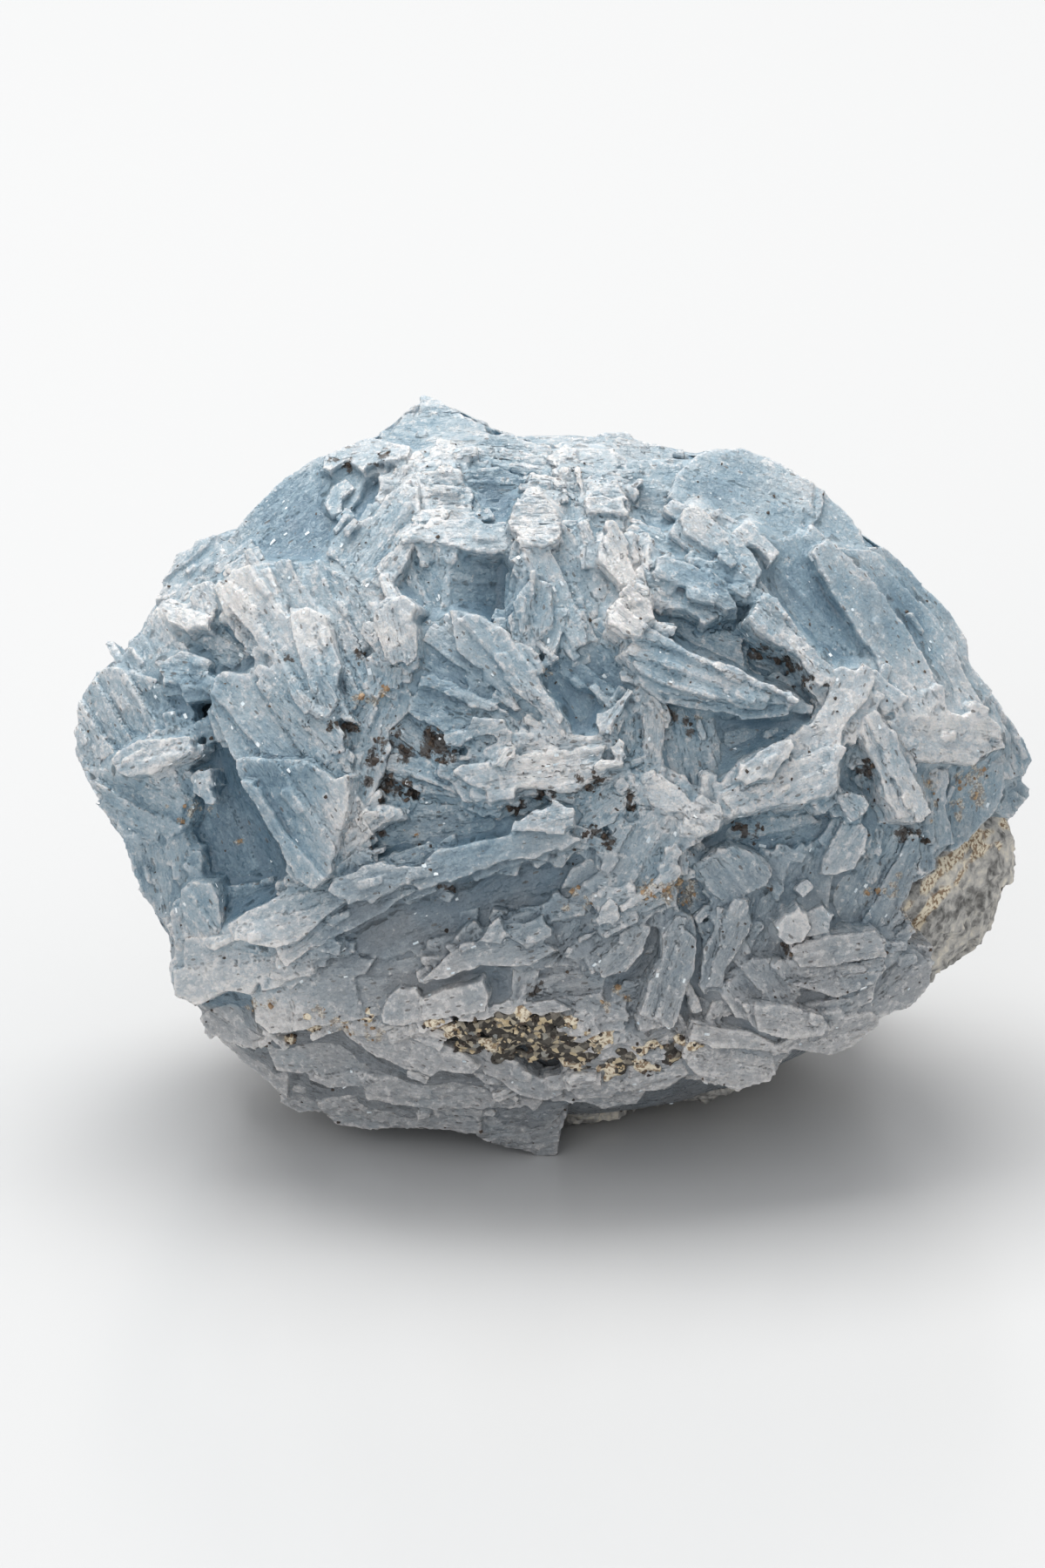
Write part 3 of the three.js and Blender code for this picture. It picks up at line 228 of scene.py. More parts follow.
def bladeFace(row):                      # the outline and the plane of one row of a table
    rise, turn, tilt, flat = row
    ring = np.array(flat, float).reshape(-1, 2)
    if areaOf(ring) < 0:
        ring = ring[::-1].copy()
    middle = ring.mean(axis=0)
    slope = domeSlope(*middle) * layout["slopeShare"]
    slope -= math.tan(math.radians(tilt)) * np.array(
        (math.cos(math.radians(turn)), math.sin(math.radians(turn))))
    slope *= min(1, layout["steepest"] / max(np.linalg.norm(slope), 1e-9))
    height = float(domeHeight(*middle)) + rise - middle @ slope
    return ring, Face((0, 0, height), (1, 0, slope[0]), (0, 1, slope[1]))


def growthOf(ring, grain):               # which way a blade grew, in its own plane
    along, aspect = principalAxis(ring)
    if aspect < habit["roundAspect"]:
        along = np.array((math.cos(math.radians(grain)), math.sin(math.radians(grain))))
    return along


def growBlade(heap, row, habit, rng):
    ring, face = bladeFace(row)
    depth = max(row[0] + habit["rootBelow"], habit["thinnest"])
    calm = float(spotWeight(np.array([(*ring.mean(axis=0), 1.0)]), smoothSpots)[0])
    left = 1 - habit["calmed"] * calm
    start, over = habit["lowFrom"]
    whole = max(calm, min(1, max(0, (start - float(ring.mean(axis=0)[1])) / over)))
    own = {**habit, "plate": habit["plate"] + habit["calmPlate"] * calm,
           "bedDrop": habit["bedDrop"] * left,
           "saw": [angle * left for angle in habit["saw"]],
           "plateRise": [rise * left for rise in habit["plateRise"]],
           "chips": habit["chips"] * left * (1 - habit["lowShare"] * whole),
           "stepDepth": habit["stepDepth"] * (1 - habit["lowShare"] * whole)}
    dressBlade(heap, face, ring, growthOf(ring, habit["grain"]), depth, own, rng)


# A blade is a bed with parallel plates on it, each a little tilted and broken at its ends.
def dressBlade(heap, face, ring, along, depth, habit, rng):
    middle = ring.mean(axis=0)
    across = np.array((-along[1], along[0]))
    spots, reach = (ring - middle) @ across, (ring - middle) @ along
    width, length = np.ptp(spots), np.ptp(reach)
    count = int(np.clip(round(width / habit["plate"]), 1, habit["mostPlates"]))
    owner = addFrame(heap, face, middle, along, rng)
    edge = stepped(ring, habit["stepReach"], habit["stepDepth"], rng)
    bedDrop = 0.0 if count == 1 else habit["bedDrop"]
    addSlab(heap, face, edge, -bedDrop, (0, 0), (0, 0), depth, owner, habit["taper"])
    if count == 1:
        if length > 2:
            addChips(heap, face, ring, along, across, 0.0, middle, habit, rng, owner)
        return
    saw = math.tan(math.radians(rng.uniform(*habit["saw"]))) * rng.choice((-1, 1))
    cuts = [width * ((k + rng.uniform(-0.25, 0.25)) / count) + spots.min()
            for k in range(1, count)]
    cuts = [spots.min() - 1, *cuts, spots.max() + 1]
    turns = [0, *(math.radians(rng.uniform(-3, 3)) for k in range(1, count)), 0]
    for k in range(count):
        strip = ring
        for cut, turnBy, sign in ((cuts[k], turns[k], -1), (cuts[k + 1], turns[k + 1], 1)):
            normal = (across * math.cos(turnBy) + along * math.sin(turnBy)) * sign
            limit = normal @ middle + cut * math.cos(turnBy) * sign + 0.15
            strip = cutRing(strip, normal, limit)
            if len(strip) < 3:
                break
        if len(strip) < 3:
            continue
        for sign in (-1, 1):
            if rng.random() < habit["trimmed"]:
                slant = math.radians(rng.uniform(-25, 25))
                normal = (along * math.cos(slant) + across * math.sin(slant)) * sign
                far = float(np.max(strip @ normal))
                cut = cutRing(strip, normal, far - length * rng.uniform(0.02, habit["trim"]))
                if len(cut) > 2:
                    strip = cut
        if abs(areaOf(strip)) < 0.12:
            continue
        strip = stepped(strip, habit["stepReach"], habit["stepDepth"] * 0.6, rng)
        centre = strip.mean(axis=0)
        part = addFrame(heap, face, centre, along, rng)
        rise = rng.uniform(*habit["plateRise"])
        addSlab(heap, face, strip, rise, across * saw, centre, 1.6, part)
        addChips(heap, face, strip, along, across, saw, centre, habit, rng, part)


def addChips(heap, face, ring, along, across, saw, centre, habit, rng, owner):
    wanted = abs(areaOf(ring)) * habit["chips"]
    count = int(wanted) + (rng.random() < wanted % 1)
    for _ in range(count):
        i = rng.randrange(len(ring))
        spot = ring[i] + (ring[i - 1] - ring[i]) * rng.random()
        spot = spot + (centre - spot) * min(1, rng.random() ** 1.5)
        turnBy = math.radians(rng.gauss(0, 7))
        a = along * math.cos(turnBy) + across * math.sin(turnBy)
        b = np.array((-a[1], a[0]))
        halfLong = rng.uniform(*habit["chipLong"]) / 2
        halfWide = min(halfLong, rng.uniform(*habit["chipWide"]) / 2)
        nick = rng.uniform(0.5, 1)
        block = np.array([spot + a * x * halfLong + b * y * halfWide
                          for x, y in ((-1, -nick), (nick, -1), (1, 0.2), (0.8, 1), (-0.9, 0.8))])
        lift = rng.uniform(*habit["chipRise"])
        tilt = across * saw + a * math.tan(math.radians(rng.gauss(0, 5)))
        addSlab(heap, face, block, lift + float((spot - centre) @ (across * saw)), tilt, spot,
                1.2, owner)


# Pieces from blocks.

def newObject(name, mesh):
    piece = bpy.data.objects.new(name, mesh)
    bpy.context.scene.collection.objects.link(piece)
    return piece


def plainMesh(piece):                    # what the modifiers give, as a mesh of its own
    graph = bpy.context.evaluated_depsgraph_get()
    made = bpy.data.meshes.new_from_object(piece.evaluated_get(graph))
    piece.modifiers.clear()
    old, name = piece.data, piece.data.name
    piece.data = made
    bpy.data.meshes.remove(old)
    made.name = name
    return made


def fused(name, heap, voxel):            # one closed skin round all the blocks of a heap
    mesh = bpy.data.meshes.new(name)
    mesh.from_pydata(np.array(heap["points"]) * mm, [], heap["faces"])
    piece = newObject(name, mesh)
    fuse = piece.modifiers.new("fuse", "REMESH")
    fuse.mode, fuse.voxel_size, fuse.use_smooth_shade = "VOXEL", voxel * mm, True
    plainMesh(piece)
    return piece


def pointsOf(mesh):
    flat = np.empty(len(mesh.vertices) * 3)
    mesh.vertices.foreach_get("co", flat)
    return flat.reshape(-1, 3) / mm


def normalsOf(mesh):
    flat = np.empty(len(mesh.vertices) * 3)
    mesh.vertices.foreach_get("normal", flat)
    return flat.reshape(-1, 3)


def setPoints(mesh, points):             # and nothing reaches under the floor
    rested = np.maximum(points, (-np.inf, -np.inf, 0))
    mesh.vertices.foreach_set("co", (rested * mm).ravel())
    mesh.update()


def setAttribute(mesh, name, values):
    kind, key = ("FLOAT_VECTOR", "vector") if values.ndim == 2 else ("FLOAT", "value")
    layer = mesh.attributes.new(name, kind, "POINT")
    layer.data.foreach_set(key, np.ascontiguousarray(values, dtype=np.float32).ravel())


def thinned(piece, hidden, kept):        # fewer faces, and hardly any where nothing is seen
    mesh = piece.data
    ends = np.empty(len(mesh.loops), dtype=np.int32)
    mesh.loops.foreach_get("vertex_index", ends)
    share = float(np.mean(hidden[ends]))
    group = piece.vertex_groups.new(name="hidden")
    group.add(np.flatnonzero(hidden).tolist(), 1.0, "REPLACE")
    thin = piece.modifiers.new("thin", "DECIMATE")
    thin.ratio, thin.vertex_group = 1 - 0.9 * share, "hidden"
    even = piece.modifiers.new("even", "DECIMATE")
    even.ratio = kept
    made = plainMesh(piece)
    piece.vertex_groups.clear()
    made.shade_smooth()
    made.set_sharp_from_angle(angle=math.radians(blades["crease"]))
    return made


def insideCore(leaned, share):
    return np.linalg.norm(leaned / core["radii"], axis=1) < share


def smoother(mesh):                      # averages values over neighbouring points
    ends = np.empty(len(mesh.edges) * 2, dtype=np.int32)
    mesh.edges.foreach_get("vertices", ends)
    a, b = ends.reshape(-1, 2).T
    count = len(mesh.vertices)
    degree = np.bincount(a, minlength=count) + np.bincount(b, minlength=count)
    degree = np.maximum(degree, 1)

    def smoothed(values, rounds):
        for _ in range(rounds):
            values = np.column_stack([
                (np.bincount(a, column[b], count) + np.bincount(b, column[a], count)) / degree
                for column in values.T])
        return values

    return smoothed


def nearestOwners(heap, points):
    tree = BVHTree.FromPolygons(heap["points"], heap["faces"])
    owners = heap["owners"]
    return np.array([owners[tree.find_nearest(point)[2]] for point in points.tolist()])


def spotWeight(leaned, spots):           # how far each point lies in one of the spots u, v, radius
    weight = np.zeros(len(leaned))
    for u, v, radius in spots:
        away = ((leaned[:, 0] - u) ** 2 + (leaned[:, 1] - v) ** 2) / radius ** 2
        weight = np.maximum(weight, np.exp(-away * 0.7))
    return weight * (leaned[:, 2] > 0)


# The front's blades.
# Each row: rise above the dome, direction it leans to, lean, outline as u, v pairs.

crown = [
  [-2.6, 90, 12, [-13.7, 24.8, -12.7, 25.6, -11.9, 25.8, -10.4, 27.7, -9.3, 28, -8, 27.3,
    -4.4, 25.6, -4, 24, -9.5, 23.8, -13, 24]],
  [-0.9, 90, 8, [-10.2, 23.3, -9.6, 24, -8.6, 24.6, -6, 24.4, -4.6, 25.1, -2.8, 25, -0.4, 24.2,
    1.5, 22.9, 2.2, 21.9, 1, 21.2, -1.4, 21.3, -4, 22.4, -6.8, 22.5, -9.8, 22.8]],
  [0.2, 90, 6, [-9.9, 22.9, -8.9, 24.2, -7.5, 24.3, -5.8, 24.1, -6, 23.2, -7, 22.5, -8.8, 22.5]],
  [-2.2, 95, 15, [-0.3, 24.3, 0.3, 24.8, 2.5, 24.9, 3.8, 25.1, 5.4, 25.1, 5.9, 24.7, 8.2, 24.1,
    9.6, 23.9, 10.4, 23.4, 9, 22, 2, 22.4]],
  [-0.7, 80, 10, [-0.6, 23.3, 0.3, 24, 4.5, 24.1, 5.4, 23.3, 5.3, 22.2, 2.5, 21.2, 1.2, 21.8]],
  [-0.8, 60, 5, [5.3, 23, 7, 23.2, 9.5, 23, 10, 21.5, 8.7, 20.8, 6, 20.8, 5, 21.6]],
  [0.4, 110, 5, [-17.3, 22.6, -16.5, 23.6, -13.7, 24.9, -12, 24.4, -10, 24, -10.1, 23.2,
    -12.1, 23.2, -13.9, 22.1, -15, 23, -16.3, 22.2]],
  [-1, 130, 8, [-24, 17.4, -22, 19.8, -20, 21.8, -17.4, 23.5, -15.2, 24, -13.7, 22.4, -14.4, 20,
    -16, 18, -17, 15.9, -20.5, 15.6, -23, 15.8]],
  [-1.7, 120, 5, [-15.2, 21.2, -13, 22.8, -11.4, 22.6, -12.6, 20, -14, 18.6, -15.2, 18.9]],
]

crownMiddle = [
  [0.1, 100, 8, [-11.2, 20.4, -10, 22.2, -6.8, 22.4, -6.2, 21, -5.2, 19.4, -6, 18.6, -9, 18.8,
    -10.6, 18.6]],
  [-1, 60, 6, [-6.7, 22.1, -4, 22.5, -1.3, 21.3, -2.3, 20.3, -3.3, 18.4, -4.9, 18.2,
    -6.4, 20]],
  [1.3, 80, 12, [-11.1, 17.7, -9, 18.7, -6, 19, -5, 18.4, -3.4, 18.5, -2.2, 17.3, -3.6, 16.2,
    -6.2, 16.4, -8.6, 17, -11, 16.9]],
  [2.2, 95, 14, [-3.4, 18.4, -3, 19.5, -2, 20.9, -1.2, 21.1, -0.5, 20.2, 0.3, 19.3, 0.7, 17.4,
    -1, 16.6, -2.6, 16.8]],
  [1.2, 20, 6, [-2.8, 17.2, -0.8, 17.5, 0.6, 15, 1.9, 11.5, 2.9, 8.5, 1.5, 8, 0.3, 10, -0.4, 13,
    -2, 14.4, -3.2, 15.8]],
  [0.5, 20, 8, [-0.9, 17.8, 0.6, 18.3, 2.3, 16.5, 3.5, 14, 4.3, 11.6, 2.8, 11, 1.2, 13.5]],
  [-0.1, 20, 12, [0.2, 20.3, 1, 20.9, 2, 20.5, 2.2, 17.8, 1.6, 16.8, 0.5, 18.2]],
  [1.1, 10, 12, [2.3, 20.4, 4.7, 21.8, 5.7, 20, 5.3, 17.3, 4.2, 17.7, 3, 16.6, 2.3, 18]],
  [2, 20, 10, [4.1, 17.8, 4.9, 17.4, 5.5, 16.2, 6.1, 14.5, 6, 13.2, 5, 13.6, 3.2, 15.5,
    3.4, 17]],
  [0.7, 340, 8, [2.4, 15.8, 4, 15.8, 5.6, 13.2, 4.4, 12.2, 3.2, 13.2]],
  [-1.6, 10, 10, [5.6, 21.2, 8.7, 21, 9.2, 18.4, 7, 18.2, 5.4, 19]],
]

blueHollow = [
  [-0.8, 350, 24, [-8.3, 11.4, -7.6, 15.8, -5, 17, -3.2, 16, -3, 10.8, -5, 10.6]],
  [-0.1, 190, 10, [-12.2, 16.6, -9.7, 16.7, -8, 16.2, -7.4, 14, -7.6, 11, -9.9, 10, -10.1, 12.4,
    -11.2, 13.2, -12.4, 14.6]],
  [2.1, 200, 8, [-2.9, 12.6, -1.9, 14, -1, 14.3, -0.2, 14, -0.1, 10.8, -0.8, 10.1, -1.8, 9.4,
    -2.5, 10.4]],
  [2.6, 200, 12, [-12.9, 12.6, -12.3, 13.1, -11, 13.1, -10.1, 12.4, -9.9, 8.8, -10.1, 8.1,
    -10.9, 7.3, -12.2, 8.7, -13, 10.8]],
]

leftFan = [
  [1.1, 120, 8, [-16.9, 15.4, -16.2, 17.2, -14.9, 18.3, -13.2, 19, -12.2, 20.6, -10.2, 22,
    -9.8, 20.4, -9.5, 18, -10.4, 16.2, -12, 13, -15, 13.2]],
  [0.7, 160, 6, [-20.8, 15.6, -16.9, 15.8, -14, 13.6, -11.8, 13.4, -12.6, 10.4, -13, 8.2,
    -13.5, 6, -14.7, 4.2, -16.4, 5, -18, 9, -20, 12.6, -21.6, 14.9]],
  [1.9, 170, 10, [-24.3, 13.9, -23.4, 15.1, -21, 15.7, -19.6, 12.4, -17.6, 9, -15.7, 6,
    -14.8, 4.1, -17, 4.2, -18.1, 4.4, -20.3, 7.8, -22.6, 11, -24.2, 12.9]],
  [2.2, 150, 6, [-19.2, 11.6, -18, 12.3, -16.5, 11.6, -16, 9.6, -15.4, 8, -16, 5.2, -17.2, 4.8,
    -18.2, 7.6, -18.9, 10]],
  [1.6, 170, 10, [-22.3, 7.7, -21.8, 8.2, -20, 7.6, -18.2, 4.6, -16, 4.2, -15.1, 2.9,
    -15.2, 0.6, -16.2, 0, -17.2, 0.4, -19.4, 3.3, -21.4, 6.1]],
  [0.9, 180, 10, [-25.1, 5.7, -24.7, 7.2, -24, 7.6, -22.2, 7.4, -20.8, 5.4, -19, 3, -17.3, 0.6,
    -22.9, 0.8, -23.8, 2, -25, 4.6]],
  [2.3, 185, 12, [-23.3, 1.3, -20.5, 1.1, -18, 1.1, -15.9, -0.3, -14.8, 0, -15, -3, -15.8, -5,
    -16.1, -7, -17.4, -8.2, -18.9, -7.3, -20, -5, -21.8, -2, -22.9, -0.2]],
  [3, 200, 14, [-22.9, -0.3, -21.9, -0.5, -20.4, -2.8, -19.3, -4.6, -17.6, -6.4, -16.6, -7.6,
    -17.5, -8.3, -18.9, -7.4, -20, -5.1, -21.8, -2]],
  [-2.6, 200, 8, [-26.8, 2.6, -24.6, 3, -22.4, 0.6, -18.6, -7, -20, -8.4, -24.9, -8.6,
    -25.7, -5.5, -27, -3.8]],
  [-1.5, 170, 6, [-27.3, 11.6, -24.4, 12, -21.6, 9, -21.4, 7.2, -25.3, 7.6, -27.2, 8.6]],
  [-1.2, 120, 10, [-25.2, -8.2, -22, -7.8, -19, -7.6, -19.6, -9.2, -23, -10.4, -24.4, -11.6,
    -25.2, -10]],
  [0.7, 150, 4, [-15.3, 4, -13.6, 6.2, -11, 7.6, -10, 5, -12, 3.2, -12.2, 0.6, -13, -1.4,
    -15, -3, -15.2, 0]],
  [-0.1, 100, 12, [-16.9, 20, -16.3, 21.2, -15.2, 21.9, -14.6, 21.2, -15.4, 20.4, -15.4, 19.3,
    -16.3, 19]],
]

farLeft = [
  [-0.2, 170, 4, [-35.4, 2.7, -34.9, 4.5, -34.6, 6.7, -33.9, 7.8, -32.2, 8, -29.5, 7.2,
    -27.4, 6.4, -27.4, 3.4, -30, 2.2, -32.6, 0.4, -34.8, 0.4, -35.2, 1.5]],
  [-0.6, 150, 6, [-32, 7.8, -31.1, 10.4, -30.4, 11.3, -29.4, 12.9, -27.4, 12.4, -26.6, 10.8,
    -27, 7, -30, 6.8]],
  [-0.6, 130, 6, [-29.4, 12.8, -28.5, 14.7, -27.8, 16.3, -26.5, 16.7, -26.3, 17.3, -24.9, 17.6,
    -23.6, 17.5, -23.4, 15.6, -24.4, 14, -26.5, 12.6]],
  [0.2, 160, 4, [-26.5, 14.1, -24.9, 14.2, -24.3, 12.8, -24.7, 11.6, -26.5, 12]],
  [0.7, 110, 20, [-28.9, 12.7, -27, 12.3, -25, 11.5, -25.4, 10.8, -27, 10.6, -28.2, 11.2]],
  [0.7, 150, 8, [-29.3, 8.3, -27.3, 9.2, -25.4, 8.5, -25.2, 7.3, -26.3, 6.4, -28.5, 6.7]],
  [1.5, 110, 10, [-32.5, 1.1, -31.8, 1.9, -30.4, 2.6, -28, 2.8, -26.5, 2.9, -26.4, 1.7, -28, 0.9,
    -29.5, 0, -31.2, -0.1, -32.3, 0.4]],
  [-0.1, 190, 5, [-34.8, 0.5, -33.7, -0.9, -33.8, -1.9, -32.6, -3.3, -31.5, -4.7, -29, -5,
    -27.2, -4.2, -26.7, -2, -27.4, 0, -29.5, 0.4, -32, 0.6]],
  [-0.5, 200, 4, [-31.5, -4.4, -30.9, -6.5, -30.4, -8.3, -29.2, -10, -28.5, -11.3, -27.6, -11,
    -26.9, -8, -26.2, -6.6, -27, -4.2, -28.5, -4]],
  [0.9, 190, 6, [-27.3, -8.3, -26.6, -7.7, -25.1, -7.9, -24.5, -9, -24.3, -11.5, -25.2, -12.2,
    -27.3, -12, -27.5, -9.5]],
  [0.4, 190, 6, [-26.7, -0.2, -26, 0.5, -25, 0.5, -24.8, -0.8, -25.6, -1.7, -26.4, -1.2]],
]

longBlades = [
  [1.4, 130, 12, [-28.3, -14.4, -27.9, -12.4, -27, -11.8, -24.6, -12, -22, -12.4, -19, -12,
    -17.6, -12.8, -19.2, -14.1, -21.5, -15, -22.2, -16.1, -24, -15.8, -26.2, -16.9, -27.8, -16.2]],
  [2.6, 125, 10, [-24, -10.9, -22.5, -10, -20.5, -9, -18.5, -8.4, -16.4, -8.2, -14.6, -8.9,
    -16.4, -10.1, -18.4, -12, -20.2, -12.6, -22, -12.3, -23.6, -12]],
  [2.8, 120, 12, [-16.4, -8.4, -15.8, -7.4, -14, -6.7, -12.4, -6.2, -9.6, -6.6, -10.6, -8,
    -13, -9.2, -15, -9.4]],
  [2, 290, 6, [-19.4, -14, -17.7, -12.8, -15, -11.4, -12, -9.8, -9.8, -8.4, -11, -7.7,
    -13.4, -8.8, -16, -10.2, -18.4, -11.8, -20.2, -12.8]],
  [2.2, 110, 8, [-11, -7.8, -9.7, -6.8, -8.5, -5.4, -6, -4.9, -2.6, -4.2, 1.2, -4.1, 2, -4.6,
    0.5, -5.5, -1, -5.9, -3, -6.2, -5, -6.9, -7.5, -7.8, -9.8, -8.4]],
  [2.9, 110, 8, [-3.1, -4.1, -2.9, -3.5, -1.5, -2.6, 0, -1.8, 0.8, -2.2, 1.5, -3, 1.5, -3.8,
    0.8, -4.3]],
  [1.4, 120, 6, [-14.6, -7, -11.8, -5.6, -9, -4.8, -8.2, -5.4, -9.6, -6.8, -11, -8, -13, -8.6]],
  [-0.9, 285, 8, [-16, -12.2, -15, -11.4, -11, -9.4, -7, -7.9, -3, -6.5, 0, -5.9, 2.4, -5.2,
    3.3, -6.4, 3.3, -7.6, 2, -8.4, 0.5, -9, -1, -9.8, -4.2, -10.4, -5.5, -11.4, -8, -12.4,
    -12, -13.4, -15.5, -13]],
  [1.3, 110, 10, [-9.8, -15.1, -8.7, -14.1, -7.4, -12.9, -5.4, -11.9, -2, -11.7, -0.6, -12.3,
    0.3, -12.8, -1.8, -13.9, -5.3, -13.9, -7.5, -14.7]],
  [1.6, 120, 8, [-5.5, -12.1, -4.8, -11.1, -3.8, -10.2, -3.3, -11.6, -3.8, -12.3]],
  [1.5, 100, 8, [-3.3, -11.8, -2.9, -11.1, -0.7, -10.1, -0.3, -11.6, -0.8, -12.4, -2, -12.6]],
  [0.1, 280, 6, [-0.6, -10, 2.5, -10.1, 3.2, -10.9, 1.9, -11.6, 1.8, -14, -1.8, -14, -0.2, -12.8,
    -0.4, -11.4]],
  [2, 110, 10, [3, -10.4, 3.4, -9.7, 4.1, -8.9, 4.7, -9.4, 4.8, -10.4, 4.3, -10.9, 3.3, -11]],
  [0.6, 300, 6, [1.8, -13.4, 2.6, -12.4, 4.2, -11.4, 5.4, -10, 6.6, -9.6, 7.4, -10.4, 6.4, -13,
    5.2, -14.3, 3.2, -14.8, 2.2, -14.4]],
  [-0.3, 270, 5, [-15.2, -14.4, -13, -13.6, -9.9, -13.1, -7.4, -12.8, -8.8, -14.1, -9.8, -15.1,
    -11.5, -15.6, -14.4, -15.1]],
  [0.5, 200, 6, [-18.1, -13.8, -17.5, -13, -15.2, -13.1, -13, -13.4, -13.8, -14.6, -15.4, -15,
    -17.6, -15]],
  [0.4, 120, 10, [-1.2, -9.5, 0, -8.9, 1, -8.9, 1.6, -9.4, 0.6, -9.9, -0.7, -10]],
  [0.1, 270, 4, [0.6, -8.3, 1.4, -6.7, 2.6, -6, 3.4, -6.6, 3.2, -7.6, 2, -8.3]],
]

frontLedge = [
  [1, 210, 10, [-22.2, -16, -22, -18.1, -20.9, -19, -19.2, -18.9, -18.9, -17, -19.7, -15.1,
    -21.2, -15.1]],
  [0.8, 270, 6, [-19.7, -15.2, -17.2, -14.9, -14.5, -14.9, -14, -17.8, -17, -18.4, -19.2, -18.8,
    -19, -17]],
  [1, 250, 8, [-12.6, -17.5, -12.1, -16.2, -11.2, -15.5, -10.1, -15.6, -9.4, -16.5, -9.5, -18,
    -11, -18.4, -12.4, -18.1]],
  [1.2, 240, 8, [-9.7, -16.5, -7.8, -15.6, -5.2, -14.9, -4.7, -16.3, -5, -17.3, -7, -17.7,
    -9.5, -18]],
  [-0.4, 270, 6, [-14.6, -14.8, -11, -15, -5, -13.7, -2.8, -13.8, -2.8, -16.6, -6, -16.8,
    -10, -17.4, -14.4, -17.8]],
  [0.4, 260, 6, [-3, -13.9, -0.9, -13.8, -1.3, -15.5, -1.9, -16.7, -3.1, -16.3]],
  [-0.2, 275, 6, [-0.7, -13.8, 2, -13.8, 4.6, -14.4, 4.2, -16, 3.2, -17.2, 0, -17.2, -1.5, -16.8,
    -1, -15.2]],
  [0.9, 120, 8, [-7.2, -18, -5.2, -17.1, -3.2, -16.3, -1.6, -16.6, 0.1, -16.3, 1.6, -17.3,
    -1, -17.6, -3, -17.4, -5, -17.9]],
  [0.4, 280, 8, [0.2, -18, 1, -17.7, 3, -17.9, 3.6, -19, 2.2, -19.6, 0.8, -19.4, 0.2, -18.7]],
  [-1, 280, 6, [4.5, -11, 6.4, -10.4, 9, -10.4, 9.6, -13, 9.4, -16, 7, -17, 5, -17.3, 4, -15.9,
    4.9, -13]],
  [0.7, 330, 10, [9.5, -9.9, 10.3, -10.5, 10.5, -12.1, 10.3, -14, 9.7, -15.4, 9.3, -16.7, 8.8,
    -18.4, 6.4, -19, 6.2, -17.9, 7, -15.2, 8, -13.4, 7.9, -11.7, 8.8, -10.5]],
  [-0.8, 285, 8, [5.2, -15, 8.2, -14.8, 9.9, -15.2, 9.3, -17, 9, -18.8, 7, -19.2, 5, -18.9, 4.1,
    -17.4, 4.4, -15.6]],
  [-0.3, 285, 6, [5.7, -19, 8.3, -18.8, 8.8, -19.4, 8.2, -20.9, 6.2, -20.9, 5.6, -20]],
  [-1.2, 300, 8, [10, -15.4, 11.6, -16.2, 12.8, -17.5, 14, -20, 13.5, -22, 10.5, -22.3,
    9.2, -21.5, 9.4, -18.8, 9.3, -17]],
]

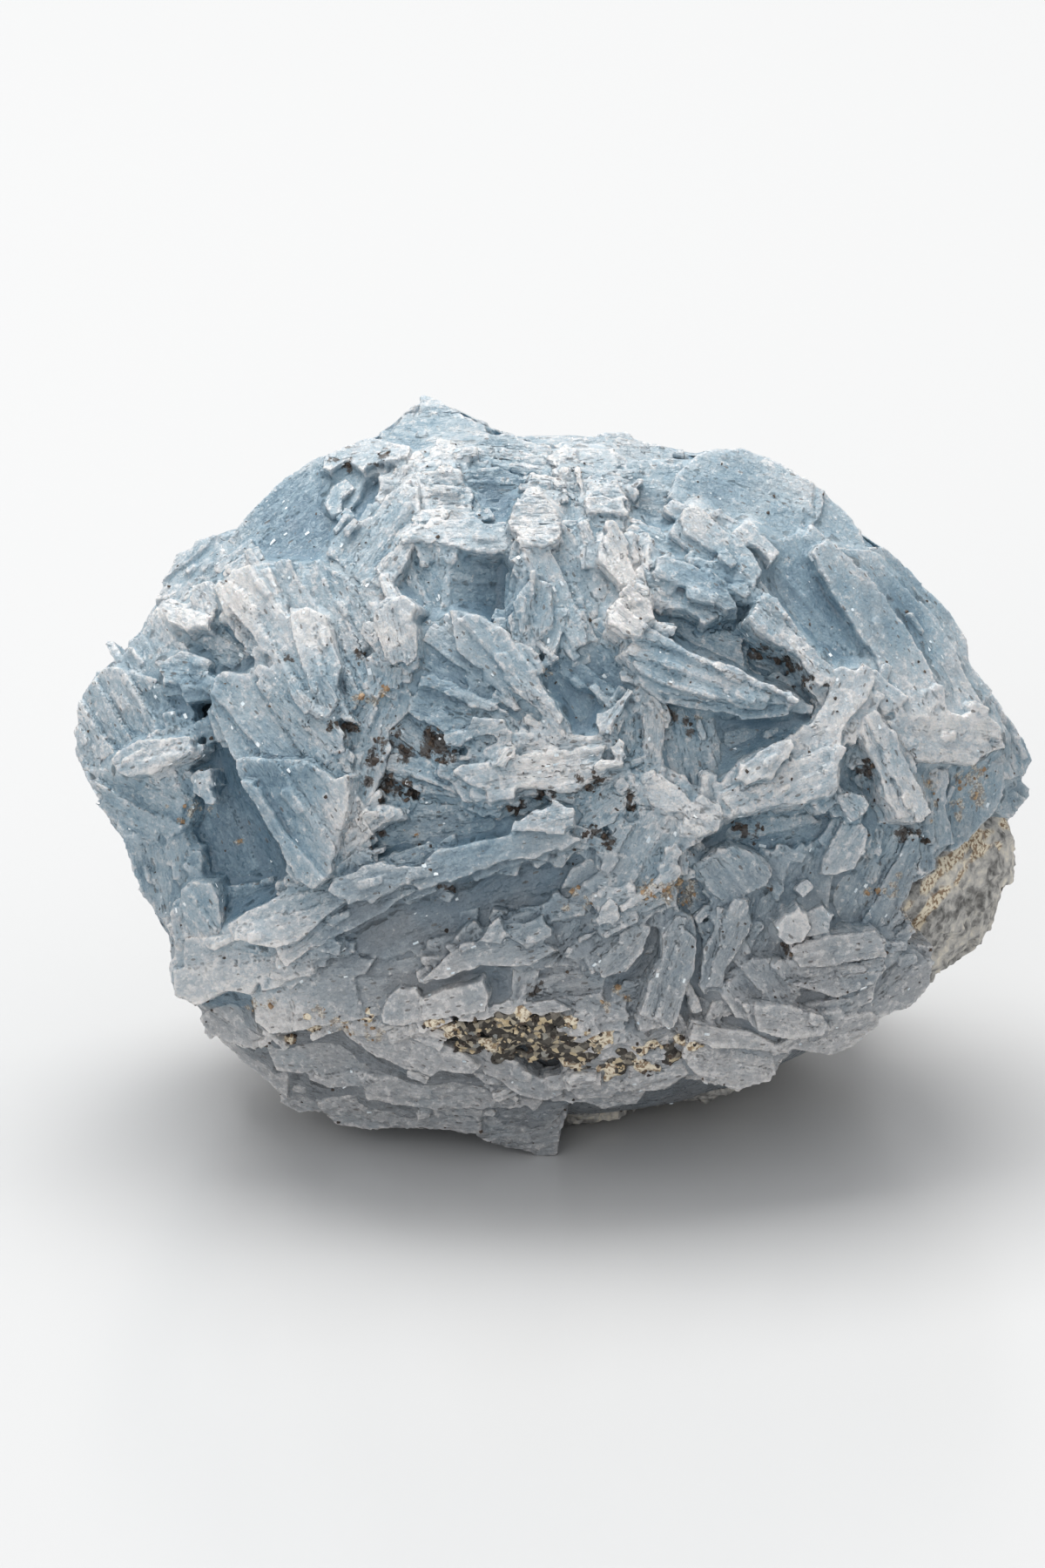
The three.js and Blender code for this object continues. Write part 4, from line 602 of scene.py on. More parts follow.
underside = [
  [-1.2, 275, 14, [0.9, -20.6, 3.4, -19.9, 5.6, -20.3, 5.9, -22.4, 4.2, -23.7, 1.8, -23.9,
    0.7, -22.6]],
  [-0.8, 262, 10, [5.2, -20.2, 8.4, -19.8, 10.6, -20, 10.2, -21.8, 8.2, -23.2, 5.8, -23.4,
    4.9, -22]],
  [-1.6, 285, 16, [9.8, -19.6, 12.6, -18.8, 14.2, -19.4, 13.2, -21.2, 11.2, -22.6, 9.4, -22.4]],
  [-2, 270, 22, [2.4, -22.8, 5.2, -22.9, 7, -23, 6.2, -24.3, 3.6, -24.6, 2, -24]],
  [-1.5, 230, 8, [-26.1, -16.7, -23.9, -15.8, -22, -16, -21.6, -18, -20.8, -19.4, -20.9, -20.4,
    -22.9, -20, -25.3, -18.9, -26.1, -17.7]],
  [-2.5, 230, 8, [-25.2, -18.8, -22.9, -19.6, -21, -20.3, -19.6, -21.4, -19.6, -24.2, -21.5, -22.4,
    -22.9, -21.2, -24.3, -19.9]],
  [-3, 260, 10, [-21.2, -19.6, -18.8, -18.6, -15.6, -18.6, -13.2, -19.6, -9.6, -21.8,
    -12, -22.4, -17.8, -22.1, -20.4, -21.8]],
  [-2.4, 120, 8, [-18.1, -21.8, -16.8, -22.2, -14.7, -21.8, -13.8, -22, -14.3, -23.1,
    -16.6, -23.1, -18, -22.5]],
  [-3, 260, 10, [-20.5, -21.5, -18.2, -22, -14.2, -22.9, -14.4, -24.2, -17.4, -25, -18.7, -25.1,
    -20.2, -24.2]],
  [-1, 220, 8, [-15.9, -18.2, -14.5, -18.7, -12.6, -18.5, -9.4, -19.3, -7, -20.1,
    -5.4, -21.5, -5.9, -22, -8.4, -21.7, -9, -22.1, -11, -21.6, -13, -20.7, -14.9, -19.4]],
  [-1.5, 260, 10, [-6.4, -20.4, -5.1, -19.7, -2.5, -21.1, -0.9, -22.3, 0.9, -22.6, 0.7, -23.4,
    -0.8, -24, -2, -23.7, -5, -22]],
  [-3, 265, 10, [-14.2, -22.2, -10, -22.1, -8.4, -21.6, -5.3, -22, -3.8, -23, -4.4, -24.6,
    -9, -24.8, -13.8, -24]],
  [-3.3, 250, 10, [-17.6, -24.2, -13.8, -23.2, -9.8, -23.2, -5.4, -24, -5.2, -26.5, -7, -26.4,
    -10, -26.1, -13, -26.3, -16, -25.9]],
  [-3.8, 285, 4, [-5.6, -25.7, -4.9, -24.8, -3, -23.9, 1.1, -23.9, 1, -25.3, 0.5, -27, 0.3, -28.1,
    -1, -28.2, -3.5, -27.6, -5.7, -26.7]],
  [-0.5, 270, 10, [0.6, -22.2, 1.2, -21.8, 3.6, -21.9, 3.5, -23, 1, -23.3]],
]

centre = [
  [0.9, 190, 5, [-10, 8.6, -9.9, 11, -7.8, 11.8, -5.6, 11.2, -4, 9.6, -3, 7.6, -4.8, 5, -9, 5.4,
    -10.6, 7]],
  [1.7, 215, 8, [-7.6, 12, -5.2, 11.6, -3.4, 10.4, -2, 8.4, 0.2, 5.4, 1.1, 3.6, 0.4, 3.4,
    -1.6, 5, -4.4, 7, -7, 9]],
  [1.2, 210, 6, [-10.8, 7.4, -8.6, 7.4, -4.6, 5.4, -1.6, 3.2, -4, 2.8, -8, 3, -11.2, 5]],
  [0.7, 210, 8, [-5, 5.4, -2.2, 5.8, -0.6, 4.4, -1.4, 3, -4, 3.2]],
  [1.9, 230, 10, [-6.6, 3.2, -5.8, 4.2, -3.6, 4, -3, 3, -4.2, 2.6, -5.4, 2.8, -6.6, 2.2,
    -7.8, 2.2, -8, 2.8]],
  [0, 215, 8, [-12.2, 5, -9, 4.2, -6, 2.6, -7.6, 0, -10.6, -1.2, -12.4, 0.6]],
  [0.5, 225, 8, [-12, 1.8, -9.4, 1.2, -7.4, 0, -5.6, -0.6, -6, -2, -9.4, -1.4, -12, -0.2]],
  [-0.4, 250, 8, [-13, -1.6, -6.6, -2, -3, -3.2, -3, -4.6, -9, -5, -12.8, -6.6, -14.2, -4]],
  [1.4, 140, 10, [-15.6, -4.6, -14.8, -3.8, -13, -2.2, -11.2, -2.4, -10.8, -3.2, -12.4, -3.6,
    -14, -4.4, -15.2, -5.8]],
  [1.6, 100, 10, [-7.3, 0.2, -5.4, 1.6, -3.4, 1.8, -2.2, 2.6, 1, 2.9, 3.2, 2.9, 4.6, 2.4,
    5, 1, 3.5, 0, 1.8, -1, 0.4, -1.2, -2.2, -0.9, -4, -1.6, -5.2, -1]],
  [1.1, 250, 6, [1.2, -2, 2.2, -1.3, 3.6, -0.5, 5, 0.3, 6.3, 0, 6.6, -0.9, 5.4, -1.5, 5.1, -2.6,
    4.4, -3.4, 3, -4.1, 1.8, -4]],
  [-0.2, 240, 6, [-3.2, -1.4, -0.6, -1, 1.2, -2, 1.8, -4, -3, -4]],
  [0.3, 20, 6, [0.4, 9.9, 2.8, 11.4, 4.6, 11.6, 7, 8, 5.6, 6, 4, 5.6, 2, 6.2, 0.4, 7.4]],
  [0.2, 350, 6, [-0.6, 9.6, 1, 9, 1.2, 6.6, 3.6, 5.8, 3.4, 3, 1, 3, 0, 5.6, -1.4, 7.4]],
  [2.1, 120, 12, [3, 3.9, 3.2, 4.6, 4.6, 5.4, 5.4, 6.3, 6, 6, 5.1, 5, 4.6, 4.2, 4.2, 3.1,
    3.3, 3]],
  [0.4, 350, 8, [4.4, 3.4, 5, 4.9, 6, 6, 8, 5, 8.1, 3.5, 8, 2, 8.1, 0.9, 7.4, 0, 6.2, 0,
    4.8, 0.6]],
  [1.5, 100, 8, [6.5, -1.4, 7.2, -0.4, 8, 0, 9.2, -0.8, 10.3, -2, 10, -2.9, 8, -2.7, 7, -2.1]],
  [0.9, 285, 8, [3.1, -5.8, 3.9, -4.5, 4.7, -3.5, 6, -2.5, 8, -2.6, 9.3, -3, 8.6, -4.8, 8.3, -6,
    7.9, -7.5, 7, -8.6, 5.4, -9.5, 4.7, -9.2, 4.4, -8, 3.3, -7]],
  [1.7, 330, 10, [8.1, -5.1, 9, -4.9, 9.6, -5.7, 9, -6.4, 8.8, -7.2, 8.3, -7.9, 7, -8.9,
    5.6, -9.8, 4.9, -10.4, 4.8, -9.5, 6.5, -8.4, 7.7, -7.3]],
  [1.9, 60, 10, [9.3, -3.4, 9.9, -1.9, 11, -1.6, 12.2, -2.1, 12.4, -3.3, 12, -4.1, 10.4, -4.5,
    9.2, -4.3]],
  [1.2, 120, 6, [-7.4, -0.6, -6, -0.5, -5.4, -1.2, -5.6, -2, -6.6, -1.9]],
  [2.2, 110, 8, [-4.4, 0.8, -4, 1.9, -2.8, 2, -2.8, 1.2, -3.6, 0.5]],
  [2.2, 100, 8, [4.1, 2.2, 4.8, 2.7, 5.2, 2.3, 5.3, 1.5, 4.8, 1.2, 4.2, 1.6]],
]

rightBars = [
  [1.5, 60, 10, [9.3, 18.6, 9.6, 19.5, 10.2, 19.7, 11.5, 19, 14.5, 16.4, 15.3, 14.8, 14.6, 13.6,
    13.4, 14.9, 11.5, 16.4, 9.6, 17.6]],
  [1.1, 80, 10, [8.5, 17.6, 8.8, 18.4, 9.5, 18.5, 11, 17.4, 12.8, 16, 13.6, 14.8, 12.6, 14.4,
    11, 15.7, 9, 17.2]],
  [0.2, 90, 10, [5.2, 17.6, 5.8, 18.7, 7.5, 18.2, 9, 17.3, 11.2, 15.8, 10.6, 14.8, 8.3, 16,
    6.5, 16.9]],
  [1.9, 70, 10, [7.2, 14.9, 7.5, 15.9, 8.1, 16.1, 9.4, 15.6, 11, 14.8, 12.9, 13.4, 13.7, 12,
    12.4, 11.9, 11, 12.9, 9, 13.9, 7.4, 14.4]],
  [1.3, 80, 10, [7.2, 13.3, 7.8, 14.2, 8.4, 14.1, 10, 13.5, 11.1, 13, 12.2, 11.4, 11, 11,
    9, 12.1, 7.6, 12.7]],
  [1.5, 60, 8, [13.1, 17.8, 14.1, 18.7, 14.8, 18.3, 16.6, 16.3, 15.8, 15.5, 14.6, 16.8,
    13.8, 17]],
  [-0.8, 60, 8, [6.8, 12.8, 7.5, 11, 9, 9.9, 11.4, 8.7, 14.4, 7.6, 14.4, 9.6, 14.6, 11.6,
    13.6, 13, 11, 11.8, 8.4, 12.6]],
  [3, 60, 8, [4, 12.1, 4.6, 12.8, 6, 13.2, 6.8, 13, 7.2, 12.3, 7.5, 11.2, 6.4, 10, 5, 10.3,
    4, 11]],
  [2.3, 55, 8, [6.6, 11.4, 8.3, 10, 10.5, 8.8, 13, 7.8, 15.5, 6.7, 17.3, 6, 17.8, 5.4, 17.2, 5,
    14, 5.1, 11.8, 5.6, 10, 6, 8, 6.6, 6, 7.8, 5, 9, 5, 10.6]],
  [1.3, 280, 8, [8.3, 5.2, 8.6, 6.6, 11.5, 5.8, 14.5, 5.3, 17.6, 5, 17.1, 4.4, 14, 4, 11.6, 4.6]],
  [-0.9, 60, 10, [7.4, 11.2, 11, 9, 14, 7.6, 17, 7.2, 20.2, 6.2, 18.6, 5, 15, 6.2, 11, 8]],
  [1.6, 40, 10, [14.9, 13.7, 15.4, 13.6, 16.3, 12.5, 17, 11, 18.1, 10.1, 19.2, 9, 20.3, 8,
    20.8, 7.2, 20.3, 6.3, 18.6, 7.4, 17.8, 8.6, 16.5, 9.4, 14.6, 10.6, 14, 11.3, 14.8, 12.5]],
  [-1.8, 300, 8, [13.2, 8, 14, 9.6, 15.4, 10.4, 17, 9.6, 19, 7.8, 19.6, 6, 18.2, 6.2, 16, 7]],
  [0.8, 90, 6, [6, 15, 6.2, 15.8, 7.3, 15.8, 7.3, 13.8, 6.5, 14]],
]

rightDome = [
  [-0.4, 75, 8, [9, 22, 10.4, 23.4, 11.3, 23.8, 13.8, 24.1, 16, 23.4, 17.6, 22.4, 19, 21.6,
    20.1, 21, 19.6, 19, 18, 17, 16, 16, 14, 17.8, 12, 19, 10, 19.6, 8.4, 20.6]],
  [-0.4, 50, 8, [20.1, 21, 21.2, 19.8, 22.2, 18.7, 22.7, 18.1, 23.2, 16.7, 22.6, 16, 20.8, 16.2,
    20, 17.2, 18.8, 17.6, 18.2, 19, 19, 20.8]],
  [-0.5, 50, 4, [13.8, 18.6, 16.2, 17.2, 18, 17.8, 19.2, 16.9, 19.8, 15, 21.2, 12.8, 22.6, 10.5,
    24, 8.6, 24.2, 6.8, 21, 7.6, 18.4, 10, 16.4, 12.2, 15.2, 14]],
  [0.9, 40, 6, [19, 16.2, 19.4, 16.9, 20.1, 17.4, 20.9, 16.9, 22, 15.8, 24.5, 13, 27.1, 9,
    28.6, 6, 27.5, 4, 26, 4.2, 24.4, 6.2, 23.7, 8.4, 22, 11, 20.4, 13.4, 19.5, 15]],
  [0.1, 40, 8, [20.6, 16.9, 22.5, 16.6, 23.4, 16.6, 24.6, 15.2, 26.2, 13.6, 28.2, 11.6,
    29.4, 9.6, 30.2, 7.5, 31.6, 5.2, 30, 3.8, 28.4, 5.4, 26.8, 8.6, 24.2, 12.6]],
  [-0.8, 35, 10, [23.2, 16.7, 24.3, 16.8, 25.7, 15.7, 27.1, 14.2, 28.5, 12.8, 29.5, 11.7,
    30.5, 10, 30.6, 8.7, 31.5, 7.2, 32.4, 6.2, 31.2, 4.6, 29.6, 7.4, 28.6, 9.8, 27, 12,
    24.6, 14.4]],
  [1.6, 350, 6, [24.8, 5.4, 26, 4.3, 28.5, 4.6, 30, 4.3, 31.4, 5, 33, 3.4, 33.4, 2, 31.9, 1.6,
    31, 0.8, 29, 1, 26.8, 1.1, 26.1, 1.8, 25.4, 2.3, 24.6, 3.6, 24, 4.5]],
  [-1.2, 10, 8, [31.2, 5.2, 32.4, 6.2, 33.9, 3.9, 34.9, 2.1, 35.4, 1.1, 34.7, -0.2, 33, -0.3,
    31.6, 1, 31.8, 3]],
  [-1.8, 340, 8, [33, -0.2, 34.7, -0.1, 35.2, -1, 35.2, -1.6, 34, -2.9, 33.2, -3.1, 32.4, -2.4,
    32.4, -1]],
]

rightFront = [
  [2, 150, 8, [20.2, 7.6, 21, 8, 22, 7.6, 22.6, 8.3, 23.4, 7.7, 23.5, 6.9, 22.8, 5.4, 22, 4.5,
    21.2, 3.4, 20.6, 1.2, 20, -0.6, 18.8, -0.6, 18.2, 2.6, 19.4, 4.8, 20.2, 6.3]],
  [1.7, 100, 12, [11.9, -2, 11.8, -0.7, 12.6, 0.1, 13.5, 1.1, 15, 1.9, 17, 2.7, 18.2, 3.7,
    19.8, 3.6, 20.9, 1, 20.8, -0.8, 20, -1.6, 18.3, -2, 16.5, -2.1, 15, -2.5, 13, -3, 12, -2.8]],
  [2.7, 95, 8, [13.3, -0.2, 13.6, 0.9, 14.9, 1.7, 16, 2.3, 17.3, 2.6, 17.6, 2, 17.2, 1.2,
    16.5, 0.6, 16, -0.2, 14, -0.7]],
  [-1, 100, 8, [11.6, 4.6, 14, 4.2, 16, 4.8, 19, 5.2, 19, 2.8, 16, 1.4, 12.5, 0, 11.8, 2]],
  [-0.7, 170, 6, [7.8, 5.4, 10, 5.3, 11.8, 4.8, 11.6, 1.6, 12.2, 0, 11.4, -1.4, 9, -1, 7.8, 0.6]],
  [-0.6, 0, 10, [10.6, 3, 11.4, 3.8, 11.8, 3.6, 12.2, 2.4, 12.5, 0.4, 11.6, 0.1, 11, 1.4]],
  [-1.4, 300, 6, [10.4, -4.2, 12.5, -3, 15, -2.5, 17, -2, 19, -1.8, 20.6, -2.4, 20.4, -4.9,
    18.4, -5.2, 16.2, -5.4, 15.6, -6.8, 12.8, -6, 9.6, -6]],
  [0.5, 280, 5, [10.4, -6.6, 12, -5.4, 13, -5.1, 14.5, -5.6, 15.8, -6.5, 16, -7.3, 15.5, -8.1,
    14, -8.7, 12.4, -9.2, 11, -8.2]],
  [0.6, 260, 6, [12, -9.5, 13, -8.8, 14.3, -9.1, 14.6, -10.9, 13.8, -12.3, 12.6, -14.2, 12.2,
    -16.1, 11.1, -16.1, 10.6, -15.4, 10.9, -12.8, 11.7, -11.5]],
  [-1, 270, 6, [9.2, -6, 10.6, -7, 11.6, -9, 11, -12, 13.6, -12.4, 15.2, -13, 14.6, -16,
    10.2, -16, 9.4, -12, 8.6, -8.4]],
  [-0.8, 300, 6, [14.2, -9, 16, -8.4, 16.4, -6.6, 18, -5, 20.4, -4.6, 20.6, -7, 20.2, -9.4,
    20, -12, 18.6, -14.6, 15, -14.4, 14.4, -11.8]],
  [1.6, 250, 8, [16.1, -11, 17, -10.2, 18, -9.7, 18.6, -10.2, 18.8, -11.2, 18.2, -12.1,
    17, -12.4, 16.4, -11.8]],
  [0.9, 110, 8, [18.3, -10.2, 19.8, -9.5, 20.6, -10.2, 20.2, -11.6, 18.5, -11.9]],
  [1.3, 100, 8, [20.6, -1.5, 21, -2.5, 21.6, -3.4, 22.5, -3.3, 23.1, -2.2, 22.7, -1.4,
    21.6, -1.1]],
  [0.8, 150, 8, [21, -3.4, 22.3, -3.4, 23.1, -4.4, 22.7, -5.7, 22, -6.9, 20.8, -7.2, 19.5, -7.2,
    19.7, -6, 20.4, -4.6]],
  [-0.8, 270, 6, [20.6, -0.6, 21.5, 0.7, 22.5, 1, 24, 0.2, 24.4, -3, 24, -6, 22.8, -6.6,
    22, -3, 20.6, -3]],
  [0.1, 200, 8, [20.6, 0.6, 21, 2.4, 21.8, 3.9, 22.8, 5.2, 23.6, 4, 23.4, 0.6, 21.6, 0.3]],
  [2, 30, 8, [22.8, 5, 23.6, 4.6, 24.6, 3.4, 25.6, 1.4, 26.9, -0.9, 27.6, -2.6, 26.8, -3.4,
    25.1, -3.2, 24.4, -2, 24, -0.4, 23.1, 1.6, 22.4, 3.2]],
  [-0.5, 340, 6, [25.6, 1.8, 27.4, 1.2, 29, 0.9, 29, -0.5, 28.8, -2, 29.3, -5, 28, -6.9,
    26.4, -8.1, 26, -6, 26.4, -3.4, 26.8, -1]],
  [-1.2, 200, 6, [24, -3, 26.6, -3.2, 27, -6, 26.3, -8.4, 25.4, -10.4, 24.4, -12.4, 21, -12.6,
    20, -9.6, 21, -6.6, 23.6, -5.4]],
  [-0.7, 250, 6, [16.4, -13.4, 18.8, -12, 20.4, -11.4, 24.6, -12.2, 23.4, -16.6, 20, -19,
    15, -20, 12.6, -17.2, 14, -14.4]],
  [-1.4, 350, 8, [28.8, 1.4, 31.4, 1.4, 33.2, 1, 33.3, -1, 32.4, -2.9, 30.6, -4.9, 29.2, -5.6,
    28.8, -2]],
  [0.6, 120, 8, [17.6, -8.3, 18.5, -7.6, 19.1, -8.2, 18.2, -9]],
  [0.3, 260, 8, [23.2, -2.2, 24.4, -2.2, 25.2, -3, 24.8, -3.7, 23.8, -3.6]],
]

lowRight = [
  [0.9, 300, 10, [17.4, -12.4, 20.2, -11.8, 23.6, -11.4, 25.4, -13.2, 23.4, -15.2, 20.6, -16.2,
    17.2, -15.2]],
  [0.2, 320, 8, [24.2, -12.6, 28.2, -12.8, 27.6, -15.4, 26, -17, 23.8, -17.8, 21.8, -16.2]],
  [0.4, 280, 8, [12.8, -14.6, 14.6, -13.4, 17.6, -13.6, 18.8, -15.6, 16.4, -18, 13.2, -17.6,
    12.2, -16]],
  [0.4, 300, 8, [18.2, -16.8, 21, -16.2, 22.8, -16.6, 24, -18.2, 22, -20, 20.2, -20.6, 17, -20]],
  [0.5, 270, 10, [10.2, -18.2, 14.6, -18.9, 17.4, -20.4, 16.2, -22.4, 13.6, -22.9, 11, -22.4,
    9.4, -20.6]],
  [1.7, 295, 12, [13.8, -16.9, 17, -16.9, 19.8, -17.7, 20.6, -19, 17.6, -19.3, 14.8, -18.7]],
]


# The crystals.

blades = {
    "voxel": 0.16,
    "kept": 0.62,           # share of the skin's faces that is kept, most of them at edges
    "crease": 30,           # a sharper bend than this stays a crisp edge
    "lumps": 0.05,          # how far the skin goes in and out, over a couple of millimetres
    "laths": 0.08,          # steps between the laths that a blade is made of
    "facets": 0.13,         # flat facets that lean their own ways
    "ridges": 0.05,         # growth lines that run along a blade
    "sugar": 0.04,          # fine uneven frosting
    "rim": 0.62,            # how far a sharp edge stands off its smoothed place, in voxels
    "hiddenUnder": 0.7,     # deeper than this under the ground nothing shows
}
habit = {
    "plate": 1.35,          # width of one plate of a blade
    "mostPlates": 6,
    "plateRise": (-0.12, 0.3),
    "bedDrop": 0.45,        # how far the bed lies under its plates
    "saw": (4, 12),         # how far each plate leans sideways, so that it overlaps the next
    "trimmed": 0.75,        # share of the plates' ends that are broken short
    "trim": 0.14,           # at most by this share of the blade's length
    "stepReach": (0.5, 1.6),
    "stepDepth": 0.28,
    "chips": 0.13,          # small cleavage blocks to a square millimetre
    "chipLong": (0.7, 2.4),
    "chipWide": (0.35, 1.0),
    "chipRise": (0.08, 0.42),
    "rootBelow": 2.4,
    "thinnest": 2,
    "taper": 1.04,
    "roundAspect": 1.35,    # an outline rounder than this takes its group's grain
    "grain": 0,
    "calmPlate": 2.4,       # how much wider the plates of a clean blade are
    "calmed": 0.8,          # and by what share it is flatter
    "lowFrom": (-6, 8),     # blades under this v are less broken, the more the lower, over v
    "lowShare": 0.5,
}
# Spots as u, v, radius: the palest crests, the deepest blue and the dark grit between blades.
paleSpots = [
    (-8, 23.4, 2.2), (5.6, 12, 1.8), (5.2, 15.4, 1.6), (16, 0.6, 3.4), (11, -3, 1.7),
    (3.9, -10, 1.2), (-27, 11.6, 1.9), (21.4, 3.8, 2.4), (25.8, -1.8, 2), (29, 3, 3.4),
    (17.5, -11, 1.5), (-5, -13.4, 3.2), (-24, -14.4, 3.8), (-18, 10, 1.6), (-22.6, 13.2, 1.6),
    (-7.5, 20, 2.2), (-1.4, 18.6, 2), (0, 23.4, 3.4), (-11.5, 10, 1.2), (-14.5, -2.8, 1.8),
    (-8, -16.4, 3.4), (-20, -17, 2.6), (22, -5, 1.8), (-28, 1.2, 2), (14, 19, 1.4),
    (10.8, 18.8, 1.2), (17.6, 10.6, 1.6), (-1, 1.2, 2.6), (8.2, -0.6, 1.2), (31, 10.6, 2),
]
blueSpots = [
    (-5, 13.4, 3), (-22.6, -3.6, 4.2), (-6, -9.4, 5), (15, 3, 2.6), (-4.4, 20.4, 2.2),
    (-7, 7, 4), (-20, 0.5, 3), (-17, 7, 2.6), (12, 13.4, 3), (19.6, 12.4, 3.4), (13.6, 21, 3),
    (-26.6, 5.4, 2.2), (-18.6, 18.6, 3),
    (2, 6.6, 2.2), (24.4, 12, 2.8), (8, 8.8, 1.8), (-13, -10.6, 3),
]
smoothSpots = [         # where a face is clean and even instead of broken into laths
    (13.5, 20.5, 4), (18.5, 17.5, 3.5), (22, 13, 3.5), (26, 9.5, 3.5), (29, 6, 3),
    (22, 6.5, 2.5), (10, 22.5, 2.5), (-18.5, 19.5, 3.5), (-13.4, 20.5, 1.8), (-22, 16.5, 2),
    (-22.5, -4, 4.5), (-25.5, 4.5, 2.5), (-20.5, -2.5, 3.2), (-18, -5.8, 2), (-13, -11, 3),
    (-7, -9.4, 3.2), (-1, -7.8, 3), (2, -6.6, 2), (-25.5, -14.3, 2.8), (-20, -17.2, 2.4),
    (-16.5, -16.8, 2.4), (-10.8, -17, 1.6), (-6.8, -16.2, 1.8), (-5.6, 13.8, 3), (2, 6, 2),
    (15, 3, 2.6), (8.2, -2, 1.2), (16.5, -11, 2.2), (19.5, -8, 2.5),
    (13, -8, 1.4), (-12, -22, 5), (0, -24, 4), (-20, -21, 4), (31.5, -1.5, 2),
]
gritSpots = [
    (-15.2, 3.6, 1.0), (-8.4, 2, 1.3), (-12, 2, 1.1), (-12.2, -0.8, 0.9), (-10.1, -0.9, 0.7),
    (-2.5, -2.3, 0.5), (-0.7, -1.5, 0.6), (2.7, -0.5, 0.8), (5.5, -1.9, 0.7), (-12.4, -4.4, 0.4),
    (-9.8, -4.9, 0.3), (-7.8, -8.3, 0.4), (3.1, -4.4, 0.9), (23, 0.4, 0.7), (26.1, -4, 0.8),
    (14.2, -4.3, 0.7), (14.8, 8.9, 0.5), (16.2, 8.5, 0.5), (17.5, 7.8, 0.5), (18.8, 6.8, 0.6),
    (-1.2, -15.4, 0.5), (17.7, -12.6, 0.6),
    (-12.8, 23.4, 0.6), (-15.3, 22.9, 0.5), (9, 4.1, 0.7), (-19.4, 8.6, 0.4), (-14, 8.6, 0.5),
]
rustSpots = [
    (30.2, -0.4, 1.4), (-0.5, 7.6, 0.6), (9, 4.2, 0.8), (8.6, -8.2, 1.5), (2.1, -9.2, 0.7),
    (-26.8, -2.6, 0.9), (24.8, -8.5, 0.8), (-21.5, -17, 0.8), (-16.8, -17.8, 0.6),
    (-15, -18.5, 0.7), (-13, -18.8, 0.6), (29, -2.4, 1), (-13.4, 5.4, 0.9), (4.4, -16.6, 1.2),
    (26.4, -9.6, 1.2), (-10, -4.4, 0.5), (-23, -5, 0.4),
]


def broken(spots, seed):                 # each spot as a few smaller ones that lie around it
    rng = random.Random(seed)
    return [(rng.gauss(u, radius * 0.8), rng.gauss(v, radius * 0.5), radius * rng.uniform(0.3, 0.8))
            for u, v, radius in spots for _ in range(7)]


gritBits, rustBits = broken(gritSpots, 31), broken(rustSpots, 32)


shading = {                 # tone from 0, deep and clean, to 1, frosted white
    "base": 0.36,
    # painted light and shade by height: darker through the middle band, paler at the very bottom
    "paintedLightAndShadeByHeight": ((-24, -19, -16, -5, 2, 10, 16),         # at these v it shifts by these tones
                 (0.12, 0.08, -0.1, -0.1, -0.06, -0.01, 0)),
    "lower": (1.0, 20),     # from this v down, over this reach, edges are paler and faces duller
    # edges: sharp edges paler for their frost, small concave creases darker as painted shade
    "edges": 0.26,
    "lowerEdges": 0.12,
    # crests paler, and hollows a couple of millimetres wide darker as painted shade
    "crestsAndHollowShade": 0.12,
    # relief: what stands out of the dome is paler and what is sunk darker, painted shade in the
    # recesses
    "relief": 0.04,         # for each millimetre out of the dome
    "pale": 0.26,
    "blue": 0.26,
    "eachBlade": 0.04,
    "laths": 0.05,
    "slimLaths": 0.04,
    "clouds": 0.08,
    "crackGrit": 0.62,      # how much dark grit is caught in the cracks
}
lath, slimLath = np.array((3.4, 0.85, 1.1)), np.array((1.5, 0.4, 0.5))    # along, across, out
growthLine = np.array((5.0, 0.7, 0.9))
facetSizes = np.array((2.6, 1.1, 1.1)), np.array((1.2, 0.6, 0.6))


# The blade that each point belongs to: its number, axes and shade, and the point's growth, which
# is its place along, across and out of that blade, in millimetres.
def bladesAt(heap, points):
    origins, axes, shades = (np.array([entry[k] for entry in heap["frames"]]) for k in range(3))
    owners = nearestOwners(heap, points)
    growth = np.einsum("nij,nj->ni", axes[owners], points - origins[owners])
    growth += shades[owners, None] * (53, 17, 29)    # so that no two blades share a pattern
    return owners, axes[owners], shades[owners], growth


def wholeness(mesh, owners):             # nothing where two blades meet, so that no pattern tears
    corners = np.empty(len(mesh.loops), dtype=np.int32)
    mesh.loops.foreach_get("vertex_index", corners)
    corners = corners.reshape(len(mesh.polygons), -1)
    shared = owners[corners].min(axis=1) != owners[corners].max(axis=1)
    whole = np.ones(len(owners))
    whole[corners[shared].ravel()] = 0
    return whole
